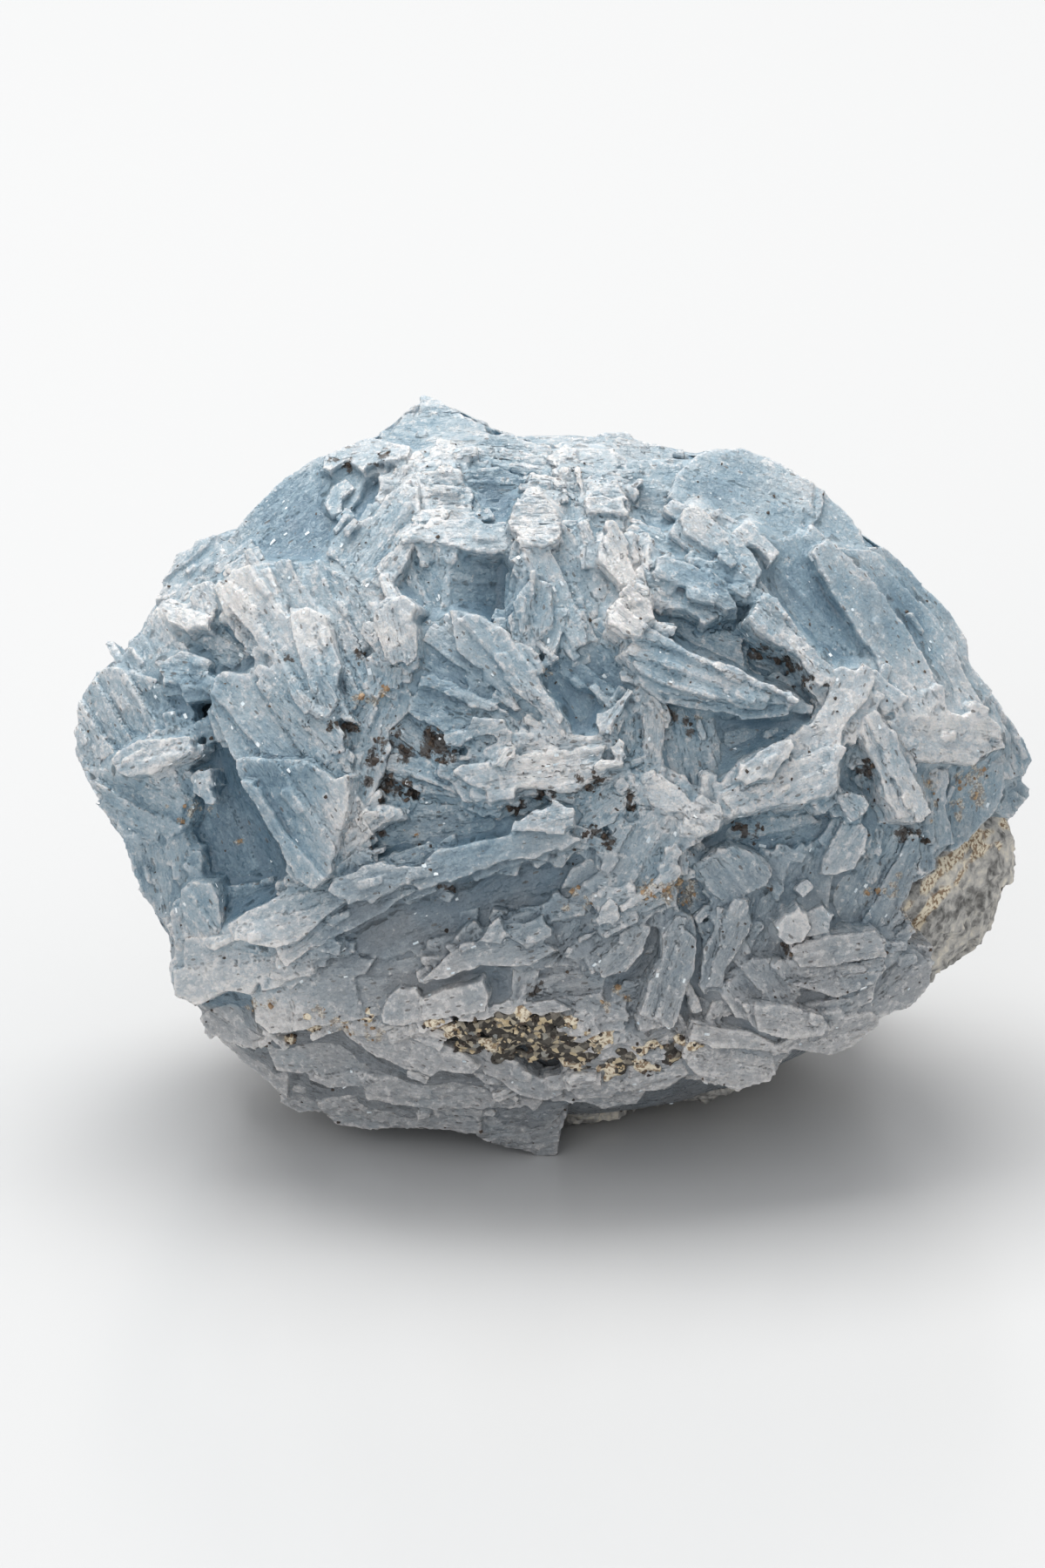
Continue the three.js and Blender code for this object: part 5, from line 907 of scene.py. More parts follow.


# Paints what the material reads, with painted shade in creases and recesses, and roughens the skin.
def finishBlades(piece, heap, seed, relief, voxel, shift=(0.0, 0.0)):
    mesh = piece.data
    points, normals = pointsOf(mesh), normalsOf(mesh)
    owners, axes, shades, growth = bladesAt(heap, points)
    whole = wholeness(mesh, owners)
    smoothed = smoother(mesh)
    near = smoothed(points, 4)
    edge = np.einsum("ij,ij->i", points - near, normals) / (blades["rim"] * voxel)
    wide = smoothed(near, 32)
    crest = np.einsum("ij,ij->i", points - wide, normals) / 0.5
    leaned = leaning(points)
    # rise: height out of the dome or the rear shell, which paints shade into what lies sunk
    rise = relief(leaned)
    pale = spotWeight(leaned, paleSpots)
    blue = spotWeight(leaned, blueSpots)
    cracks = np.clip(-edge - 0.2, 0, 1) * np.clip(softNoise(points, 3.5, seed + 12) + 0.45, 0, 1)
    # crease: the mask for painted shade, darkness laid into the concave creases between plates and
    # blades
    crease = np.clip(-edge - 0.1, 0, 1) * np.clip(softNoise(points, 1.8, seed + 13) + 0.6, 0, 1)
    grit = spotWeight(leaned, gritBits) * np.clip(0.9 - crest * 0.7, 0, 1)
    grit = np.maximum(grit, shading["crackGrit"] * cracks)
    rust = spotWeight(leaned, rustBits)
    ragged = 0.5 + 0.5 * softNoise(points, 1.1, seed + 6)
    coarse = lathNoise(growth + 0.3 * softNoise(points, 1.3, seed + 7)[:, None], lath, seed + 8)
    slim = lathNoise(growth + 0.15 * softNoise(points, 0.8, seed + 9)[:, None], slimLath,
                     seed + 10)
    rough = 0.25 + 0.75 * np.clip(softNoise(points, 4.5, seed + 1) + 0.6, 0, 1)
    rough *= 1 - 0.85 * spotWeight(leaned, smoothSpots)
    start, reach = shading["lower"]
    lower = np.clip((start - leaned[:, 1]) / reach, 0, 1)
    # rim: paler on sharp edges for their frost, darker in small concave creases, which is painted
    # shade
    rim = np.clip(edge, -1.5, 1.5) * (0.35 + 0.65 * ragged)
    # painted light and shade that follow the height up the dome
    lightAndShadeByHeight = np.interp(leaned[:, 1], *shading["paintedLightAndShadeByHeight"])
    tone = (shading["base"] + shift[0] + shift[1] * lower + lightAndShadeByHeight
            + (shading["edges"] + shading["lowerEdges"] * lower) * rim
            + shading["crestsAndHollowShade"] * np.clip(crest, -1.4, 1.4)
            + shading["relief"] * np.clip(rise, -4, 3)
            + shading["pale"] * pale * (0.6 + 0.4 * ragged) - shading["blue"] * blue
            + shading["eachBlade"] * shades
            + rough * (shading["laths"] * coarse + shading["slimLaths"] * slim)
            + shading["clouds"] * softNoise(points, 7.0, seed))
    lines = softNoise(growth, growthLine, seed + 2)
    facets = (facetNoise(growth, facetSizes[0], seed + 20)
              + 0.45 * facetNoise(growth, facetSizes[1], seed + 30))
    push = (blades["lumps"] * softNoise(points, 2.1, seed + 4)
            + blades["laths"] * rough * (0.6 * coarse + 0.4 * slim)
            + blades["facets"] * (0.25 + 0.75 * rough) * facets
            + blades["ridges"] * rough * lines
            + blades["sugar"] * (0.35 + 0.65 * rough) * softNoise(points, 0.5, seed + 5))
    points = points + normals * push[:, None]
    setPoints(mesh, points)
    lower *= 1 - 0.6 * np.clip((-14 - leaned[:, 0]) / 8, 0, 1) * (leaned[:, 1] > -17)
    setAttribute(mesh, "growth", growth)
    setAttribute(mesh, "tone", np.clip(tone, 0, 1))
    setAttribute(mesh, "dull", lower * lower * (3 - 2 * lower))
    setAttribute(mesh, "rough", rough * whole)
    setAttribute(mesh, "whole", whole)
    setAttribute(mesh, "crease", crease)
    setAttribute(mesh, "grit", np.clip(grit, 0, 1))
    setAttribute(mesh, "rust", np.clip(rust, 0, 1))
    return points, normals, axes[:, 0], grit, rust


def frontRelief(leaned):        # how far a point stands out of the dome
    return leaned[:, 2] - domeHeight(leaned[:, 0], leaned[:, 1])


fronts = {                               # piece: (rows, grain of its round outlines, seed)
    "crownBlades": (crown + crownMiddle + blueHollow, 0, 11),
    "leftFanBlades": (leftFan + farLeft, -58, 12),
    "longBladesBelow": (longBlades + frontLedge, 18, 13),
    "undersideBlades": (underside, -8, 14),
    "centreFanBlades": (centre, -38, 15),
    "rightDomeBlades": (rightBars + rightDome, -38, 16),
    "rightFrontBlades": (rightFront + lowRight, -50, 17),
}

# The fine-grained baryte that fills the gaps: a sheet laid over the blades' faces, let down a
# little and then sunk at the dark pits.
ground = {
    "cell": 0.4,
    "ends": (37, 30),       # how far the grid reaches along u and v
    "fills": (1.2, 2.5, 5, 10),
    "within": (-3.5, 1.6),  # lowest and highest against the dome
    "spread": 0.8,          # how softly it follows the blades
    "below": 0.2,           # how far it lies under the faces around a gap
    "over": 0.5,            # at most this far up the side of a blade that stands out
    "deepest": 1.5,         # of a pit
    "depth": 5,
    "laths": 900,           # loose laths that lie in the gaps
    "lathLong": (1.2, 3.8),
    "lathWide": (0.4, 1.15),
    # shade: painted shade, the ground sunk between the blades is darker, and darker still low down
    "shade": (-0.06, -0.2), # how much darker than the blades, all over and low down
    "hiddenUnder": 0.45,    # deeper than this under the blades it gets hardly any faces
    "voxel": 0.38,
    "kept": 0.6,
}


def blurred(grid, reach):                # three box blurs, reach in cells
    reach = max(1, int(round(reach)))
    for _ in range(3):
        for axis in (0, 1):
            pad = [(0, 0), (0, 0)]
            pad[axis] = (reach + 1, reach)
            total = np.cumsum(np.pad(grid, pad, mode="edge"), axis=axis)
            low, high = [slice(None)] * 2, [slice(None)] * 2
            low[axis], high[axis] = slice(0, grid.shape[axis]), slice(2 * reach + 1, None)
            grid = (total[tuple(high)] - total[tuple(low)]) / (2 * reach + 1)
    return grid


def insideRing(u, v, ring):
    inside = np.zeros(u.shape, bool)
    for (x0, y0), (x1, y1) in zip(ring, np.roll(ring, -1, axis=0)):
        if y0 != y1:
            inside ^= ((y0 > v) != (y1 > v)) & (u < (x1 - x0) * (v - y0) / (y1 - y0) + x0)
    return inside


class Ground:                            # heights above the dome on a grid of u and v
    def __init__(self, rows):
        across, up = (np.arange(-end, end + 0.01, ground["cell"]) for end in ground["ends"])
        self.u, self.v = np.meshgrid(across, up)
        dome = domeHeight(self.u, self.v)
        top = np.full(self.u.shape, -1e9)        # the highest face over each cell, if any
        for row in rows:
            ring, face = bladeFace(row)
            w = face.origin[2] + self.u * face.stepX[2] + self.v * face.stepY[2] - dome
            top = np.where(insideRing(self.u, self.v, ring), np.maximum(top, w), top)
        self.covered = top > -1e8
        # Fills the gaps from what is round them, near first.
        known = self.covered.astype(float)
        sheet = np.where(self.covered, top, 0.0)
        for reach in ground["fills"]:
            share = blurred(known, reach / ground["cell"])
            value = blurred(sheet * known, reach / ground["cell"]) / np.maximum(share, 1e-6)
            fill = (known < 0.5) & (share > 0.02)
            sheet, known = np.where(fill, value, sheet), np.where(fill, 1.0, known)
        self.inside = blurred(self.covered.astype(float), 1.3 / ground["cell"]) > 0.6
        sheet = blurred(sheet, ground["spread"] / ground["cell"] * 0.6)
        sheet = np.clip(sheet, *ground["within"]) - ground["below"]
        self.rise = np.where(self.covered, np.minimum(sheet, top + ground["over"]), sheet)
        leaned = np.column_stack((self.u.ravel(), self.v.ravel(), np.ones(self.u.size)))
        pits = spotWeight(leaned, [(u, v, r * 1.2) for u, v, r in gritSpots])
        self.rise -= pits.reshape(self.u.shape) * ground["deepest"]
        self.height = self.rise + dome
        self.solid = np.where(self.inside, self.height, -1e9)     # what blades can hide under
        low = blurred(self.covered.astype(float), 1) > 0.99
        self.roof = np.where(low, top + dome, -1e9)               # what the sheet can hide under

    def under(self, grid, leaned, depth):   # which points lie that deep under a grid of heights
        rows, columns = self.u.shape
        i = np.clip(np.rint((leaned[:, 1] - self.v[0, 0]) / ground["cell"]), 0, rows - 1)
        j = np.clip(np.rint((leaned[:, 0] - self.u[0, 0]) / ground["cell"]), 0, columns - 1)
        return grid[i.astype(int), j.astype(int)] - leaned[:, 2] > depth

    def riseAt(self, spot):
        i = int(round((spot[1] - self.v[0, 0]) / ground["cell"]))
        j = int(round((spot[0] - self.u[0, 0]) / ground["cell"]))
        return float(self.rise[i, j])

    def block(self, heap):               # adds the sheet as a closed slab
        keep = np.argwhere(self.inside[:-1, :-1] & self.inside[1:, :-1]
                           & self.inside[:-1, 1:] & self.inside[1:, 1:])
        width = self.u.shape[1]
        start, size = len(heap["points"]), self.u.size
        for drop in (0, ground["depth"]):
            flat = np.column_stack((self.u.ravel(), self.v.ravel(), self.height.ravel() - drop))
            heap["points"].extend(map(tuple, upright(flat)))
        edges = {}
        for i, j in keep.tolist():
            a = i * width + j
            ring = (a, a + 1, a + width + 1, a + width)
            heap["faces"].append(tuple(start + k for k in ring))
            heap["faces"].append(tuple(start + size + k for k in reversed(ring)))
            for edge in zip(ring, ring[1:] + ring[:1]):
                if edges.pop(edge[::-1], None) is None:
                    edges[edge] = True
        for a, b in edges:
            heap["faces"].append((start + b, start + a, start + size + a, start + size + b))


def fillGaps(heaps, sheet, faces, rng):  # small laths in the gaps, turned as their neighbours
    gaps = np.argwhere(sheet.inside & ~sheet.covered)
    middles = np.array([entry[0].mean(axis=0) for entry in faces])
    for i, j in gaps[[rng.randrange(len(gaps)) for _ in range(ground["laths"])]].tolist():
        spot = np.array((sheet.u[i, j], sheet.v[i, j])) + (rng.uniform(-0.2, 0.2),
                                                          rng.uniform(-0.2, 0.2))
        order = np.argsort(np.linalg.norm(middles - spot, axis=1))[:6]
        near = min(order, key=lambda k: float(np.min(np.linalg.norm(
            faces[k][0] - spot, axis=1))))
        _, _, along, name = faces[near]
        angle = math.atan2(along[1], along[0]) + math.radians(rng.gauss(0, 13))
        a = np.array((math.cos(angle), math.sin(angle)))
        b = np.array((-a[1], a[0]))
        long = rng.uniform(*ground["lathLong"]) / 2
        wide = rng.uniform(*ground["lathWide"]) / 2
        outline = np.array([a * x * long + b * y * wide for x, y in (
            (-1, -0.8), (-0.5, -1), (0.9, -1), (1, rng.uniform(-0.4, 0.6)), (0.8, 1), (-0.9, 1))])
        slope = domeSlope(*spot) * layout["slopeShare"] + (rng.gauss(0, 0.12), rng.gauss(0, 0.12))
        slope *= min(1, layout["steepest"] / max(np.linalg.norm(slope), 1e-9))
        w = sheet.height[i, j] + rng.uniform(-0.1, 0.5)
        own = Face((*spot, w), (1, 0, slope[0]), (0, 1, slope[1]))
        owner = addFrame(heaps[name], own, np.zeros(2), a, rng)
        addSlab(heaps[name], own, stepped(outline, habit["stepReach"], 0.12, rng), 0.0,
                b * math.tan(math.radians(rng.gauss(0, 7))), (0, 0), 1.5, owner)


frontHeaps, faces, guide = {}, [], newHeap()
for name, (rows, grain, seed) in fronts.items():
    rng = random.Random(seed)
    frontHeaps[name] = newHeap()
    for row in rows:
        growBlade(frontHeaps[name], row, {**habit, "grain": grain}, rng)
        ring, face = bladeFace(row)
        along = growthOf(ring, grain)
        faces.append((ring, face, along, name))
        owner = addFrame(guide, face, ring.mean(axis=0), along, rng)
        addSlab(guide, face, ring, 0.0, (0, 0), (0, 0), 3, owner)
sheet = Ground([row for rows, _, _ in fronts.values() for row in rows])
fillGaps(frontHeaps, sheet, faces, random.Random(41))
crystals, grown = [], []
for name, (rows, grain, seed) in fronts.items():
    piece = fused(name, frontHeaps[name], blades["voxel"])
    grown.append(finishBlades(piece, frontHeaps[name], seed * 10, frontRelief, blades["voxel"]))
    leaned = leaning(grown[-1][0])
    hidden = (sheet.under(sheet.solid, leaned, blades["hiddenUnder"])
              | insideCore(leaned, core["hidden"][0]))
    thinned(piece, hidden, blades["kept"])
    crystals.append(piece)
    print(name, "faces", len(piece.data.polygons))


# The sides and back.

rear = {
    "count": 46,
    "firstTurns": (1, 2.2),  # of the large and the small blades
    "insets": (0.5, 1.2),    # how far the blades and the core stay inside the front's outline
    "radii": (30.5, 24.5, 20.5),
    "flare": 0.11,           # how much wider the back is where it meets the front
    "length": (11, 17),
    "width": (6, 10),
    "endShare": (0.3, 0.75),
    "depth": 3.4,
    "habit": {"plate": 1.6, "chips": 0.12},
    "standing": (0.7, 2.2),
    "leaning": 18,
    "bundle": 9,             # how far the blades keep one direction
    "turned": 28,            # and how far each turns off it
    "lowest": 7.5,
    "smallCount": 150,       # smaller blades in the gaps between the large ones
    "smallLength": (5, 10),
    "smallWidth": (2, 4.2),
    "smallStanding": (0.6, 2.6),
    "voxel": 0.3,
    "kept": 0.55,
}


def wave(index, salt):
    value = math.sin(index * 12.9898 + salt * 78.233) * 43758.5453
    return value - math.floor(value)


def between(pair, share):
    return pair[0] + (pair[1] - pair[0]) * share


def turned(vector, axis, angle):
    return (vector * math.cos(angle) + np.cross(axis, vector) * math.sin(angle)
            + axis * (axis @ vector) * (1 - math.cos(angle)))


def unit(vector):
    vector = np.asarray(vector, float)
    return vector / np.linalg.norm(vector)


def rearBlade(heap, place, index, sizes, rng):
    normal = unit(place / np.square(rear["radii"]))
    x, y, z = place / rear["bundle"]     # neighbours point much the same way, as in a fan
    whorl = unit((math.sin(x + 1.3 * math.sin(y)) + 0.3, math.cos(y + z),
                  math.sin(z + 2 + 0.7 * x)))
    along = unit(whorl - normal * (whorl @ normal))
    along = turned(along, normal, math.radians((wave(index, 6) - 0.5) * 2 * rear["turned"]))
    across = np.cross(normal, along)
    lean = math.radians((wave(index, 1) - 0.5) * 2 * rear["leaning"])
    side = turned(across, along, lean)
    long = between(sizes["length"], wave(index, 2)) / 2
    wide = between(sizes["width"], wave(index, 3)) / 2
    blunt = between(rear["endShare"], wave(index, 4))
    ring = np.array(((-long, -wide * blunt), (-long * 0.7, -wide), (long * 0.8, -wide),
                     (long, -wide * 0.2), (long * 0.75, wide), (-long * 0.85, wide * 0.9)))
    middle = place + normal * between(sizes["standing"], wave(index, 5))
    dressBlade(heap, Face(middle, along, side), ring, np.array((1.0, 0.0)), rear["depth"],
               {**habit, **rear["habit"]}, rng)


def rearPlaces(count, first):
    golden = math.pi * (3 - math.sqrt(5))
    for index in range(count):
        back = (index + 0.5) / count
        ring = math.sqrt(1 - back * back)
        angle = first + index * golden
        ring *= 1 + rear["flare"] * (1 - back) ** 2
        place = np.array((ring * math.cos(angle), ring * math.sin(angle), -back)) * rear["radii"]
        if upright(place)[2] > rear["lowest"]:
            yield index, place


def rearRelief(leaned):
    shell = np.linalg.norm(leaned / np.array(rear["radii"]), axis=1)
    return (shell - 1) * 18 - 1


heaps = {"rearBladesLeft": newHeap(), "rearBladesRight": newHeap()}
rng = random.Random(21)
large = {"length": rear["length"], "width": rear["width"], "standing": rear["standing"]}
small = {"length": rear["smallLength"], "width": rear["smallWidth"],
         "standing": rear["smallStanding"]}
for sizes, places in ((large, rearPlaces(rear["count"], rear["firstTurns"][0])),
                      (small, rearPlaces(rear["smallCount"], rear["firstTurns"][1]))):
    for index, place in places:
        side = "rearBladesLeft" if place[0] < 0 else "rearBladesRight"
        rearBlade(heaps[side], place, index + (500 if sizes is small else 0), sizes, rng)


def rimOutline():                        # how far the front's blades reach at each angle
    angles, reach = np.arange(-180, 181, 3), np.zeros(121)
    for ring, _, _, _ in faces:
        for share in np.linspace(0, 1, 12, endpoint=False):
            dense = ring + (np.roll(ring, -1, axis=0) - ring) * share
            slot = np.rint(np.degrees(np.arctan2(dense[:, 1], dense[:, 0])) / 3).astype(int) + 60
            np.maximum.at(reach, slot, np.hypot(dense[:, 0], dense[:, 1]))
    reach[0] = reach[-1] = max(reach[0], reach[-1])
    return angles, reach


outlineAngles, outlineReach = rimOutline()


def withinOutline(leaned, inset):        # draws in what stands past the front's outline
    angles = np.degrees(np.arctan2(leaned[:, 1], leaned[:, 0]))
    limit = np.interp(angles, outlineAngles, outlineReach) - inset
    reach = np.maximum(np.hypot(leaned[:, 0], leaned[:, 1]), 1e-6)
    over = np.where(reach > limit, (limit + (reach - limit) * 0.1) / reach, 1.0)
    return np.column_stack((leaned[:, :2] * over[:, None], leaned[:, 2]))


for name, heap in heaps.items():
    piece = fused(name, heap, rear["voxel"])
    drawnIn = withinOutline(leaning(pointsOf(piece.data)), rear["insets"][0])
    setPoints(piece.data, upright(drawnIn))
    grown.append(finishBlades(piece, heap, 300 + len(name), rearRelief, rear["voxel"]))
    thinned(piece, insideCore(leaning(grown[-1][0]), core["hidden"][1]), rear["kept"])
    crystals.append(piece)
    print(name, "faces", len(piece.data.polygons))


# The core between the roots.

def ballPoints(divisions):
    mesh = bmesh.new()
    bmesh.ops.create_icosphere(mesh, subdivisions=divisions, radius=1)
    points = np.array([tuple(vertex.co) for vertex in mesh.verts])
    faces = [tuple(vertex.index for vertex in face.verts) for face in mesh.faces]
    mesh.free()
    return points, faces


heap = newHeap()
ball, ballFaces = ballPoints(core["divisions"])
heap["points"] = list(map(tuple, upright(ball * core["radii"])))
rimBall = withinOutline(ball * core["rimRadii"] - (0, 0, core["rimDrop"]), rear["insets"][1])
heap["points"] += list(map(tuple, upright(rimBall)))
heap["faces"] = list(ballFaces) + [tuple(i + len(ball) for i in face) for face in ballFaces]
sheet.block(heap)
groundMass = fused("groundMass", heap, ground["voxel"])
# the ground's tone shift paints shade into the gaps between the blades
grown.append(finishBlades(groundMass, guide, 401, frontRelief, ground["voxel"],
                          ground["shade"]))
leaned = leaning(grown[-1][0])
covered = sheet.under(sheet.roof, leaned, ground["hiddenUnder"]) & (leaned[:, 2] > 0)
thinned(groundMass, covered, ground["kept"])
crystals.append(groundMass)
print("groundMass faces", len(groundMass.data.polygons))


# The host rock.

rock = {
    "lumps": (((2, 2, 7.4), (17.5, 15.2, 9)), ((0, -5.5, 10.8), (11, 12.4, 4.4)),
              ((19.5, -1.8, 18.6), (13.9, 13, 10)), ((4, 9.5, 10.4), (21, 13.4, 11.4)),
              ((-11, 5, 10.5), (13.5, 12.5, 9.6))),
    "voxel": 0.36,
    "kept": 0.6,
    "crags": 1.5,
    "grain": 0.16,
}
veinPaths = (((25, -12), (25.8, -9.8), (27.6, -8), (29, -6.4), (30.6, -5.2), (33.4, -3.5)),
             ((26.6, -11.4), (28.2, -9.2), (30.2, -7.4), (31.2, -5.8), (33, -5)))


def pathDistance(leaned, path):
    least = np.full(len(leaned), 1e9)
    flat = leaned[:, :2]
    for start, end in zip(path, path[1:]):
        start, run = np.array(start, float), np.subtract(end, start).astype(float)
        share = np.clip(((flat - start) @ run) / (run @ run), 0, 1)
        least = np.minimum(least, np.linalg.norm(flat - start - share[:, None] * run, axis=1))
    return least


def buildRock():
    ball, faces = ballPoints(4)
    heap = newHeap()
    for k, (centre, radii) in enumerate(rock["lumps"]):
        start = len(heap["points"])
        swell = 1 + 0.07 * softNoise(ball * radii, 6.0, 50 + k)
        heap["points"].extend(map(tuple, ball * radii * swell[:, None] + centre))
        heap["faces"].extend(tuple(i + start for i in face) for face in faces)
    piece = fused("hostRock", heap, rock["voxel"])
    mesh = piece.data
    points, normals = pointsOf(mesh), normalsOf(mesh)
    bent = points + 0.6 * softNoise(points, 2.4, 62)[:, None]
    crags = (facetNoise(bent, 6.5, 61) + 0.5 * facetNoise(bent, 2.6, 66)
             + 0.2 * facetNoise(bent, 1.1, 67))
    push = rock["crags"] * crags - 0.3
    push += rock["grain"] * (softNoise(points, 0.9, 63) + 0.7 * softNoise(points, 0.5, 64))
    points = points + normals * push[:, None]
    points[:, 2] = np.maximum(points[:, 2], 0)       # a flat resting patch
    setPoints(mesh, points)
    leaned = leaning(points)
    vein = np.minimum(*(pathDistance(leaned, path) for path in veinPaths))
    vein += 0.5 * softNoise(points, 1.2, 65)
    setAttribute(mesh, "cream", np.clip(1.3 - vein / 0.55, 0, 1))
    setAttribute(mesh, "band", np.zeros(len(points)))
    thinned(piece, insideCore(leaned, core["hidden"][2]), rock["kept"])
    return piece


hostRock = buildRock()
print("hostRock faces", len(hostRock.data.polygons))

# A seam of the host rock between the lower blades: dark crumbly patches laced with cream.
seam = {
    "dark": ((-1.2, -18.8, 1.8), (0.5, -19.5, 1.6), (-3.6, -18.2, 1.3), (2.6, -20.3, 1.3),
             (5.2, -20.6, 1.2), (8.6, -20.3, 1.0), (-5.8, -18.3, 0.8), (-0.4, -17.6, 0.9),
             (-6, -19.5, 1.1), (-3.4, -19.9, 1.1)),
    "cream": ((-15.5, -17.9, 0.9), (-17.6, -18.3, 0.7), (-13.6, -17.6, 0.7), (-19.6, -19.4, 0.5),
              (-7.4, -18.5, 0.7), (-4.6, -19.5, 0.7), (-2.4, -17.4, 0.7), (1.2, -17.9, 0.6),
              (2.4, -18.9, 0.7), (3.8, -19.2, 0.7), (6.6, -19.8, 0.8), (4, -21.7, 0.9),
              (6.8, -21.4, 0.8), (1.4, -21.2, 0.8), (9.8, -19.6, 0.7), (-8.8, -18.2, 0.5)),
    "lumpsEach": 16,
    "lump": (0.2, 0.46),
    "voxel": 0.17,
}


def buildSeam():
    rng = random.Random(71)
    ball, faces = ballPoints(2)
    heap, pale = newHeap(), []
    for key in ("dark", "cream"):
        for u, v, radius in seam[key]:
            for _ in range(round(seam["lumpsEach"] * radius * (1 if key == "cream" else radius))):
                at = np.array((rng.gauss(u, radius * 0.5), rng.gauss(v, radius * 0.36)))
                size = rng.uniform(*seam["lump"]) * (1.0 if key == "cream" else 1.25)
                w = float(domeHeight(*at)) + sheet.riseAt(at) + rng.uniform(-0.15, 0.35)
                lump = ball * (size * rng.uniform(0.7, 1.5), size * rng.uniform(0.6, 1), size * 0.8)
                start = len(heap["points"])
                heap["points"].extend(map(tuple, upright(lump + (*at, w))))
                heap["faces"].extend(tuple(i + start for i in face) for face in faces)
                pale.append((*upright([(*at, w)])[0], key == "cream"))
    piece = fused("rockSeam", heap, seam["voxel"])
    mesh = piece.data
    points, normals = pointsOf(mesh), normalsOf(mesh)
    pale = np.array(pale)
    nearest = np.array([np.argmin(((pale[:, :3] - point) ** 2).sum(axis=1)) for point in points])
    push = 0.08 * softNoise(points, 0.6, 72) + 0.05 * softNoise(points, 0.3, 73)
    setPoints(mesh, points + normals * push[:, None])
    setAttribute(mesh, "cream", pale[nearest, 3] * 1.0)
    setAttribute(mesh, "band", 1.0 - 0.8 * pale[nearest, 3])
    return piece, points


rockSeam, seamPoints = buildSeam()
print("rockSeam faces", len(rockSeam.data.polygons))


# Materials.

def colour(hexValue, alpha=1.0):         # sRGB hex to linear
    parts = [int(hexValue[i:i + 2], 16) / 255 for i in (0, 2, 4)]
    return (*(c / 12.92 if c <= 0.04045 else ((c + 0.055) / 1.055) ** 2.4 for c in parts), alpha)


def addNode(tree, kind, inputs=(), **settings):    # inputs in order, or by name or number
    node = tree.nodes.new(kind if "Node" in kind else "ShaderNode" + kind)
    for key, value in settings.items():
        setattr(node, key, value)
    for key, value in inputs.items() if isinstance(inputs, dict) else enumerate(inputs):
        if isinstance(value, bpy.types.Node):      # a node stands for its first live output
            value = next(socket for socket in value.outputs if socket.enabled)
        if isinstance(value, bpy.types.NodeSocket):
            tree.links.new(value, node.inputs[key])
        else:
            node.inputs[key].default_value = value
    return node


def newMaterial(name):                   # and what adds nodes to it
    material = bpy.data.materials.new(name)
    material.use_nodes = True
    material.node_tree.nodes.clear()
    return material, functools.partial(addNode, material.node_tree)


def inMillimetres(add):
    space = add("TexCoord").outputs["Object"]
    return add("VectorMath", {0: space, 3: 1 / mm}, operation="SCALE")


def withStops(ramp, stops):
    elements = ramp.color_ramp.elements
    while len(elements) < len(stops):
        elements.new(0.5)
    for element, (position, hexValue) in zip(elements, stops):
        element.position, element.color = position, colour(hexValue)
    return ramp


def facetCells(add, growth, warp, size):     # the height and the random colour of tilted facets
    moved = add("VectorMath", (growth, warp), operation="ADD")
    scaled = add("VectorMath", (moved, [1 / side for side in size]), operation="MULTIPLY")
    cells = add("TexVoronoi", {"Vector": scaled, "Scale": 1.0})
    offset = add("VectorMath", (scaled, cells.outputs["Position"]), operation="SUBTRACT")
    tilt = add("VectorMath", (cells.outputs["Color"], (0.5, 0.5, 0.5)), operation="SUBTRACT")
    height = add("VectorMath", (offset, tilt), operation="DOT_PRODUCT")
    return height, add("SeparateColor", (cells.outputs["Color"],)).outputs


